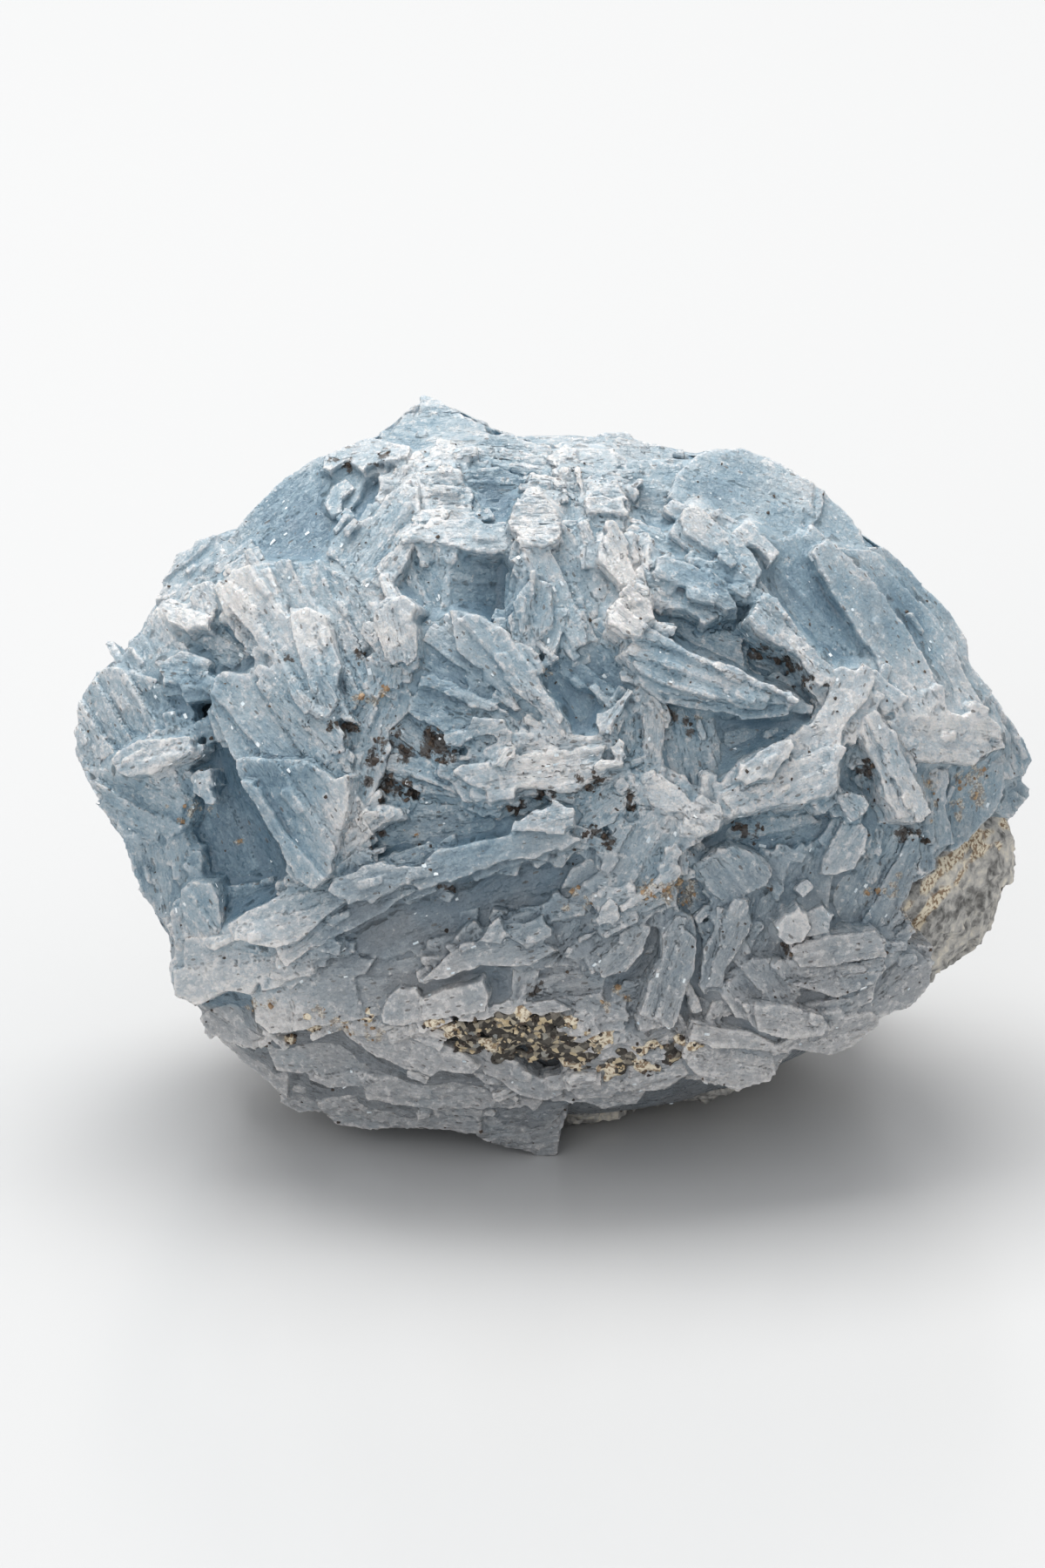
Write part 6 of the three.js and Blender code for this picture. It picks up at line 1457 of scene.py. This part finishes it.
frosted = {
    "clean": ((0.00, "5D788A"), (0.18, "7B94A3"), (0.36, "9AABB5"), (0.52, "B4BCC2"),
              (0.66, "C8CBCC"), (0.80, "D9D7D5"), (0.92, "E7E3E0"), (1.00, "F6F1ED")),
    "dull": ((0.00, "7C7D7F"), (0.25, "959597"), (0.50, "ACABAC"), (0.72, "C0BEBD"),
             (0.88, "D2CFCD"), (1.00, "E6E2DF")),
    "facet": (1.3, 0.6, 0.6),            # along, across and out of the blade, in millimetres
    "crystal": (0.42, 0.22, 0.22),
    "bend": 0.7,                         # facets bend about over this size, by this much
    "bentBy": 0.5,
    "patterns": {                        # size in millimetres, detail, roughness
        "mottle": (1.1, 4.0, 0.62),
        "broad": (4.0, 2.0, 0.5),
        "sugar": (0.17, 2.0, 0.7),
        "frost": (0.55, 5.0, 0.7),
        "crumbs": (0.7, 5.0, 0.75),
    },
    "lines": {                           # to a millimetre along and across, detail, roughness
        "coarse": (0.22, 2.2, 3.0, 0.6),
        "fine": (0.6, 5.5, 2.0, 0.6),
        "streaks": (0.7, 3.2, 4.0, 0.65),
    },
    "lineTone": 0.30,                    # how much each pattern shifts the tone
    "fineLineTone": 0.24,
    "facetTone": 0.16,
    "crystalTone": 0.15,
    "mottleTone": 0.42,
    "broadTone": 0.20,
    "sugarTone": 0.36,
    "layers": {                          # where each starts and is full, how much it hides, colour
        "frost": (0.64, 0.76, 0.6, "DEDCDB"),
        "streaks": (0.6, 0.74, 0.6, "6A7983"),
        # painted shade: a dark blue-grey laid into the creases
        "creases": (0.56, 1.2, 0.8, "47525C"),
        "dashes": (0.0, 1.0, 0.7, "54504C"),
        "limonite": (2.02, 2.3, 0.7, "857562"),
        "blackGrit": (1.66, 1.9, 0.92, "393029"),
    },
    "limoniteCrust": "D0C7B6",
    "dullVaries": 1.1,                   # how patchy the dull parts are, and how dull at most
    "dullMost": 0.8,
    "dashRun": (1.0, 2.4, 2.4),          # dashes to a millimetre along, across and out
    "dashWide": (0.09, 0.17),            # narrowest, and what the widest adds
    "dashRare": 0.94,
    "ridge": (0.85, 0.00024),            # bumps: strength, and height in metres
    "facetBump": (1.0, 0.0004),
    "grainBump": (0.6, 0.00012),
    "roughness": 0.12,
    "facetRoughness": 0.2,               # what facets and small crystals add to it, each its own
    "crystalRoughness": 0.34,
    "ior": 1.636,
    "translucency": 0.24,
    "lightReach": 0.0007,                # how far light goes in, in metres
}


# Baryte, grown as frosted blades: translucent and waxy, blue where it is deep and clean, pale
# where edges are frosted, with broken laths along each blade, dark grit caught on it, and painted
# shade laid into its creases and recesses.
def makeBaryte():
    material, add = newMaterial("frostedBaryte")
    place = inMillimetres(add)
    growth = add("Attribute", attribute_name="growth").outputs["Vector"]
    painted, grit, rust, dullness, rough, whole, crease = (
        add("Attribute", attribute_name=key).outputs["Fac"]
        for key in ("tone", "grit", "rust", "dull", "rough", "whole", "crease"))
    wobble = add("TexNoise", {"Vector": place, "Scale": 1 / frosted["bend"], "Detail": 3.0})
    warp = add("VectorMath", (wobble.outputs["Color"], (-0.5, -0.5, -0.5)), operation="ADD")
    warp = add("VectorMath", {0: warp, 3: frosted["bentBy"]}, operation="SCALE")
    facets, facetPick = facetCells(add, growth, warp, frosted["facet"])
    crystalHeights, crystalPick = facetCells(add, growth, warp, frosted["crystal"])
    mottle, broad, sugar, frost, crumbs = (
        add("TexNoise", {"Vector": place, "Scale": 1 / size, "Detail": detail,
                         "Roughness": roughness})
        for size, detail, roughness in frosted["patterns"].values())
    drawnOut = []
    for along, across, detail, roughness in frosted["lines"].values():
        stretched = add("VectorMath", (growth, (along, across, across)), operation="MULTIPLY")
        drawnOut.append(add("TexNoise", {"Vector": stretched, "Scale": 1.0, "Detail": detail,
                                         "Roughness": roughness}))
    lines, fineLines, streaks = drawnOut

    tone = painted
    for part, amount, kept in ((lines, "lineTone", rough), (fineLines, "fineLineTone", rough),
                               (facetPick[0], "facetTone", rough),
                               (crystalPick[0], "crystalTone", whole), (mottle, "mottleTone", None),
                               (broad, "broadTone", None), (sugar, "sugarTone", None)):
        part = add("Math", (part, 0.5), operation="SUBTRACT")
        if kept:
            part = add("Math", (part, kept), operation="MULTIPLY")
        tone = add("Math", (part, frosted[amount], tone), operation="MULTIPLY_ADD")
    clean = withStops(add("ValToRGB", (tone,)), frosted["clean"])
    dull = withStops(add("ValToRGB", (tone,)), frosted["dull"])
    uneven = add("Math", (broad, 0.5), operation="SUBTRACT")
    greyness = add("Math", (uneven, frosted["dullVaries"], dullness),
                   operation="MULTIPLY_ADD", use_clamp=True)
    greyness = add("Math", (greyness, frosted["dullMost"]), operation="MULTIPLY")
    body = add("Mix", {0: greyness, 6: clean, 7: dull}, data_type="RGBA")

    # Short dark dashes that lie along the growth.
    narrow, wider = frosted["dashWide"]
    dashSpace = add("VectorMath", (growth, frosted["dashRun"]), operation="MULTIPLY")
    dashCells = add("TexVoronoi", {"Vector": dashSpace, "Scale": 1.0})
    pick = add("SeparateColor", (dashCells.outputs["Color"],)).outputs
    spread = add("Math", (pick[1], wider, narrow), operation="MULTIPLY_ADD")
    near = add("Math", (dashCells.outputs["Distance"], spread), operation="LESS_THAN")
    chance = add("Math", (broad, 0.8, pick[0]), operation="MULTIPLY_ADD")
    chosen = add("Math", (chance, frosted["dashRare"]), operation="GREATER_THAN")

    layers = {                           # what each layer follows, and where it is kept
        "frost": (add("Math", (painted, 0.3, frost), operation="MULTIPLY_ADD"), None),
        "streaks": (streaks, rough),
        # painted shade in the creases, where the crease mask is high
        "creases": (add("Math", (mottle, 0.8, crease), operation="MULTIPLY_ADD"), None),
        "dashes": (add("Math", (near, chosen), operation="MULTIPLY"), whole),
        "limonite": (add("Math", (crumbs, 2.6, rust), operation="MULTIPLY_ADD"), None),
        "blackGrit": (add("Math", (crumbs, 2.2, grit), operation="MULTIPLY_ADD"), None),
    }
    for key, (value, kept) in layers.items():
        low, high, most, hexValue = frosted["layers"][key]
        share = add("MapRange", (value, low, high, 0.0, most), interpolation_type="SMOOTHSTEP")
        if kept:
            share = add("Math", (share, kept), operation="MULTIPLY")
        over = colour(hexValue)
        if key == "limonite":            # crusty: two colours in grains
            grains = add("Math", (sugar, 0.52), operation="GREATER_THAN")
            over = add("Mix", {0: grains, 6: over, 7: colour(frosted["limoniteCrust"])},
                       data_type="RGBA")
        body = add("Mix", {0: share, 6: body, 7: over}, data_type="RGBA")

    low = add("Math", (fineLines, 0.6), operation="MULTIPLY")
    ridges = add("Math", (lines, 1.0, low), operation="MULTIPLY_ADD")
    ridges = add("Math", (ridges, rough), operation="MULTIPLY")
    low = add("Math", (crystalHeights, 0.34), operation="MULTIPLY")
    steps = add("Math", (facets, rough, low), operation="MULTIPLY_ADD")
    steps = add("Math", (steps, whole), operation="MULTIPLY")
    grain = add("Math", (frost, 1.2, sugar), operation="MULTIPLY_ADD")
    normal = None
    for height, key in ((ridges, "ridge"), (steps, "facetBump"), (grain, "grainBump")):
        below = {"Normal": normal} if normal else {}
        normal = add("Bump", {"Height": height, "Strength": frosted[key][0],
                              "Distance": frosted[key][1], **below})
    shine = frosted["roughness"]
    for part, key in ((facetPick[1], "facetRoughness"), (crystalPick[1], "crystalRoughness")):
        shine = add("Math", (part, frosted[key], shine), operation="MULTIPLY_ADD")
    shader = add("BsdfPrincipled", {
        "Base Color": body, "Roughness": shine, "IOR": frosted["ior"], "Normal": normal,
        "Subsurface Weight": frosted["translucency"], "Subsurface Radius": (0.6, 0.8, 1.0),
        "Subsurface Scale": frosted["lightReach"]})
    add("OutputMaterial", {"Surface": shader})
    return material


weatheredStone = {
    "rock": ((0.2, "504F4D"), (0.34, "878683"), (0.46, "B4B2AE"), (0.58, "CAC6BE"),
             (0.7, "DFD8CA"), (0.85, "F0ECE1")),
    "seam": ((0.0, "2A2723"), (0.38, "413D38"), (0.6, "66625B"), (0.76, "8E877B"),
             (0.88, "C9B897"), (1.0, "8A8D8C")),
    "cream": ("8F7557", "EFE3CB"),
    "patterns": {                        # size in millimetres, detail, roughness
        "broad": (3.2, 3.0, 0.5),
        "grain": (0.8, 3.0, 0.6),
        "fine": (0.3, 2.0, 0.5),
    },
    "crumb": 0.45,                       # one crumb of the seam, in millimetres
    "layers": {                          # raggedness, start, where it is full, how much it hides
        "seam": (0.6, 0.6, 0.9, 1.0),
        "cream": (0.5, 0.7, 1.0, 0.9),
    },
    "bump": (0.8, 0.00025),
    "roughness": (0.72, 0.2),            # lowest, and what the roughest adds
    "ior": 1.55,
}


# Weathered host rock: dull and coarse grained, grey and tan, with cream grains and a vein.
def makeRock():
    material, add = newMaterial("weatheredHostRock")
    place = inMillimetres(add)
    cream, band = (add("Attribute", attribute_name=key).outputs["Fac"]
                   for key in ("cream", "band"))
    broad, grain, fine = (
        add("TexNoise", {"Vector": place, "Scale": 1 / size, "Detail": detail,
                         "Roughness": roughness})
        for size, detail, roughness in weatheredStone["patterns"].values())
    tone = add("Math", (broad, 0.8, -0.38), operation="MULTIPLY_ADD")
    tone = add("Math", (grain, 0.9, tone), operation="MULTIPLY_ADD")
    rock = withStops(add("ValToRGB", (tone,)), weatheredStone["rock"])
    cells = add("TexVoronoi", {"Vector": place, "Scale": 1 / weatheredStone["crumb"]})
    pick = add("SeparateColor", (cells.outputs["Color"],)).outputs
    seamed = withStops(add("ValToRGB", (pick[0],)), weatheredStone["seam"])
    brown, pale = map(colour, weatheredStone["cream"])
    share = add("MapRange", (fine, 0.4, 0.55, 0.0, 1.0), interpolation_type="SMOOTHSTEP")
    creamy = add("Mix", {0: share, 6: brown, 7: pale}, data_type="RGBA")
    body = rock
    for key, painted, over in (("seam", band, seamed), ("cream", cream, creamy)):
        ragged, low, high, most = weatheredStone["layers"][key]
        share = add("Math", (grain, ragged), operation="MULTIPLY")
        share = add("Math", (painted, share), operation="ADD")
        share = add("MapRange", (share, low, high, 0.0, most))
        body = add("Mix", {0: share, 6: body, 7: over}, data_type="RGBA")
    relief = add("Math", (grain, 1.2, fine), operation="MULTIPLY_ADD")
    strength, distance = weatheredStone["bump"]
    bump = add("Bump", {"Height": relief, "Strength": strength, "Distance": distance})
    smoothest, more = weatheredStone["roughness"]
    shine = add("Math", (fine, more, smoothest), operation="MULTIPLY_ADD")
    shader = add("BsdfPrincipled", {"Base Color": body, "Roughness": shine,
                                    "IOR": weatheredStone["ior"], "Normal": bump})
    add("OutputMaterial", {"Surface": shader})
    return material


# Loose grains: iron and manganese crumbs, limonite, calcite, and clear cleavage flakes.
def makeGrain(name, hexValues, roughness, ior):
    material, add = newMaterial(name)
    place = inMillimetres(add)
    mottle = add("TexNoise", {"Vector": place, "Scale": 1 / 0.7, "Detail": 3.0, "Roughness": 0.7})
    fine = add("TexNoise", {"Vector": place, "Scale": 1 / 0.25})
    tones = withStops(add("ValToRGB", (mottle,)), [
        (0.3 + 0.4 * k / (len(hexValues) - 1), value) for k, value in enumerate(hexValues)])
    shine = add("Math", (fine, 0.2, roughness - 0.1), operation="MULTIPLY_ADD")
    shader = add("BsdfPrincipled", {"Base Color": tones, "IOR": ior, "Roughness": shine})
    add("OutputMaterial", {"Surface": shader})
    return material


baryte, weathered = makeBaryte(), makeRock()
for piece in crystals:
    piece.data.materials.append(baryte)
for piece in (hostRock, rockSeam):
    piece.data.materials.append(weathered)
print("materials made")


# Scattered grains.

def scatterTree(name, material, flake):
    tree = bpy.data.node_groups.new(name, "GeometryNodeTree")
    for label, way, kind in (("Geometry", "INPUT", "Geometry"), ("Size", "INPUT", "Float"),
                             ("Uneven", "INPUT", "Float"), ("Seed", "INPUT", "Int"),
                             ("Geometry", "OUTPUT", "Geometry")):
        tree.interface.new_socket(label, in_out=way, socket_type="NodeSocket" + kind)
    add = functools.partial(addNode, tree)
    given = add("NodeGroupInput").outputs
    if flake:
        shape = add("GeometryNodeMeshCube", {"Size": (1.0, 0.55, 0.22)})
    else:
        ballShape = add("GeometryNodeMeshIcoSphere", {"Radius": 0.5, "Subdivisions": 1})
        bulge = add("TexNoise", {"Scale": 2.2, "Detail": 1.0})
        centred = add("VectorMath", (bulge.outputs["Color"], (0.5, 0.5, 0.5)),
                      operation="SUBTRACT")
        shape = add("GeometryNodeSetPosition", {"Geometry": ballShape, "Offset": centred})
    along, facing, grainSize = (
        add("GeometryNodeInputNamedAttribute", {"Name": key}, data_type=kind)
        for key, kind in (("along", "FLOAT_VECTOR"), ("facing", "FLOAT_VECTOR"),
                          ("grainSize", "FLOAT")))
    turn = add("FunctionNodeAxesToRotation", {"Primary Axis": facing, "Secondary Axis": along})
    low = add("Math", (1.0, given["Uneven"]), operation="SUBTRACT")
    high = add("Math", (1.0, given["Uneven"]), operation="ADD")
    vary = add("FunctionNodeRandomValue", {0: low, 1: high, "Seed": given["Seed"]},
               data_type="FLOAT_VECTOR")
    wide = add("Math", (given["Size"], grainSize), operation="MULTIPLY")
    scale = add("VectorMath", {0: vary, 3: wide}, operation="SCALE")
    placed = add("GeometryNodeInstanceOnPoints", {
        "Points": given["Geometry"], "Instance": shape, "Rotation": turn, "Scale": scale})
    real = add("GeometryNodeRealizeInstances", {"Geometry": placed})
    dressed = add("GeometryNodeSetMaterial", {"Geometry": real, "Material": material})
    add("NodeGroupOutput", {"Geometry": dressed})
    return tree


def scatter(name, material, points, alongs, facings, sizes, values):
    mesh = bpy.data.meshes.new(name)
    mesh.from_pydata(points * mm, [], [])
    setAttribute(mesh, "along", alongs)
    setAttribute(mesh, "facing", facings)
    setAttribute(mesh, "grainSize", sizes)
    piece = newObject(name, mesh)
    tree = scatterTree(name + "Nodes", material, values["flake"])
    modifier = piece.modifiers.new("scatter", "NODES")
    modifier.node_group = tree
    keys = {item.name: item.identifier for item in tree.interface.items_tree
            if item.item_type == "SOCKET" and item.in_out == "INPUT"}
    modifier[keys["Size"]] = values["size"] * mm
    modifier[keys["Uneven"]] = values["uneven"]
    modifier[keys["Seed"]] = values["seed"]
    made = plainMesh(piece)
    for layer in ("along", "facing", "grainSize"):
        if layer in made.attributes:
            made.attributes.remove(made.attributes[layer])
    print(name, "grains", len(points), "faces", len(made.polygons))
    return piece


allPoints, allNormals, allAlongs, allGrit, allRust = map(np.concatenate, zip(*grown))
picker = np.random.default_rng(7)


def pickPoints(weights, count):
    return picker.choice(len(weights), size=min(count, int(np.count_nonzero(weights))),
                         replace=False, p=weights / weights.sum())


def randomUnits(count):
    vectors = picker.normal(size=(count, 3))
    return vectors / np.linalg.norm(vectors, axis=1)[:, None]


grains = {                               # sizes in millimetres
    "blackCrumbs": {"count": 520, "size": 0.34, "uneven": 0.5, "seed": 3, "flake": False},
    "limoniteCrumbs": {"count": 260, "size": 0.36, "uneven": 0.5, "seed": 4, "flake": False},
    "darkSpecks": {"count": 1100, "size": 0.2, "uneven": 0.5, "seed": 5, "flake": False},
    "cleavageFlakes": {"count": 1500, "size": 0.26, "uneven": 0.5, "seed": 6, "flake": True},
    "bandCrumbs": {"count": 260, "size": 0.36, "uneven": 0.4, "seed": 8, "flake": False},
    "bandCreamCrumbs": {"count": 160, "size": 0.34, "uneven": 0.4, "seed": 9, "flake": False},
}
blackGrain, limoniteGrain, creamGrain, clearFlake = (makeGrain(*values) for values in (
    ("manganeseCrumb", ("1E1B18", "3A3029", "5A4838"), 0.6, 1.6),
    ("limoniteCrumb", ("6F5641", "9A7E60", "C2AE90"), 0.65, 1.55),
    ("creamCalciteCrumb", ("A08B69", "C8B594", "E2D5BA"), 0.6, 1.55),
    ("baryteFlake", ("B9CBD6", "DCE5EA", "FAFCFC"), 0.16, 1.636)))

anywhere = np.ones(len(allPoints))
weightsFor = {
    "blackCrumbs": np.clip(allGrit - 0.3, 0, 1) ** 1.5,
    "limoniteCrumbs": np.clip(allRust - 0.4, 0, 1) ** 2,
    "darkSpecks": anywhere,
    "cleavageFlakes": anywhere,
}
pieces = {}
for name, material in (("blackCrumbs", blackGrain), ("limoniteCrumbs", limoniteGrain),
                       ("darkSpecks", blackGrain), ("cleavageFlakes", clearFlake)):
    values = grains[name]
    chosen = pickPoints(weightsFor[name], values["count"])
    count = len(chosen)
    if values["flake"]:
        facings = allNormals[chosen] + 0.35 * randomUnits(count)
        alongs = allAlongs[chosen] + 0.15 * randomUnits(count)
    else:
        facings, alongs = randomUnits(count), randomUnits(count)
    pieces[name] = scatter(name, material, allPoints[chosen], alongs, facings,
                           picker.uniform(0.5, 1.3, count) ** 1.5, values)
for name, material in (("bandCrumbs", blackGrain), ("bandCreamCrumbs", creamGrain)):
    chosen = pickPoints(np.ones(len(seamPoints)), grains[name]["count"])
    pieces[name] = scatter(name, material, seamPoints[chosen], randomUnits(len(chosen)),
                           randomUnits(len(chosen)), picker.uniform(0.4, 1.2, len(chosen)),
                           grains[name])


# The studio.

studio = {
    "aim": (-2.24, -0.64, 8),      # u, v, w that the camera looks at
    "distance": 1000,
    "frameWidth": 76.9,            # what the view spans across at the aim
    "elevation": 22,
    "sky": 0.80,
    "horizon": 0.50,
    "skyTint": (0.985, 0.99, 1.0, 1),
    "floor": "C4C5C6",
    "floorRoughness": 0.24,
    "lights": (                    # name, power, size, place, tint
        ("overheadSoftbox", 10.8, (0.9, 0.6), (-0.12, 0.3, 0.9), (1.0, 0.985, 0.96)),
        ("frontSoftbox", 2.6, (0.8, 0.5), (-0.35, -0.95, 0.5), (1.0, 1.0, 1.0)),
    ),
    "lit": (0, 0, 0.02),           # the point that both lights face
}


def makeCamera():
    data = bpy.data.cameras.new("camera")
    data.sensor_fit, data.sensor_width = "HORIZONTAL", 24
    data.lens = 24 * studio["distance"] / studio["frameWidth"]
    data.clip_start, data.clip_end = 0.05, 20
    camera = newObject("camera", data)
    rise = math.radians(studio["elevation"])
    away = np.array((0, -math.cos(rise), math.sin(rise)))
    camera.location = (upright((studio["aim"],))[0] + away * studio["distance"]) * mm
    camera.rotation_euler = (math.radians(90 - studio["elevation"]), 0, 0)
    bpy.context.scene.camera = camera


def makeLight(name, power, size, place, tint):
    data = bpy.data.lights.new(name, "AREA")
    data.shape, data.size, data.size_y = "RECTANGLE", *size
    data.energy, data.color = power, tint
    light = newObject(name, data)
    light.location = place
    towards = Vector(studio["lit"]) - Vector(place)
    light.rotation_euler = towards.to_track_quat("-Z", "Y").to_euler()


def makeStage():
    mesh = bpy.data.meshes.new("paleFloor")
    mesh.from_pydata([(x, y, -0.00005) for x, y in ((-4, -4), (4, -4), (4, 4), (-4, 4))], [],
                     [(0, 1, 2, 3)])
    floor = newObject("paleFloor", mesh)
    material, add = newMaterial("glossyWhiteAcrylic")
    shader = add("BsdfPrincipled", {"Base Color": colour(studio["floor"]),
                                    "Roughness": studio["floorRoughness"], "IOR": 1.49})
    add("OutputMaterial", {"Surface": shader})
    mesh.materials.append(material)


def makeWorld():
    world = bpy.data.worlds.new("softRoom")
    world.use_nodes = True
    world.node_tree.nodes.clear()
    add = functools.partial(addNode, world.node_tree)
    up = add("SeparateXYZ", (add("TexCoord").outputs["Generated"],)).outputs["Z"]
    strength = add("MapRange", (up, 0.0, 0.8, studio["horizon"], studio["sky"]))
    light = add("Background", {"Color": studio["skyTint"], "Strength": strength})
    add("OutputWorld", {"Surface": light})
    bpy.context.scene.world = world


makeCamera()
makeWorld()
makeStage()
for values in studio["lights"]:
    makeLight(*values)
bpy.context.scene.view_settings.view_transform = "Standard"

# Hand over.

for piece in crystals:
    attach(piece, "root")
    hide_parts("baryte_blades")
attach(hostRock, "root")
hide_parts("host_rock")
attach(rockSeam, "root")
for name, piece in pieces.items():
    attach(piece, "root")
print("pieces", len(crystals) + len(pieces) + 2)
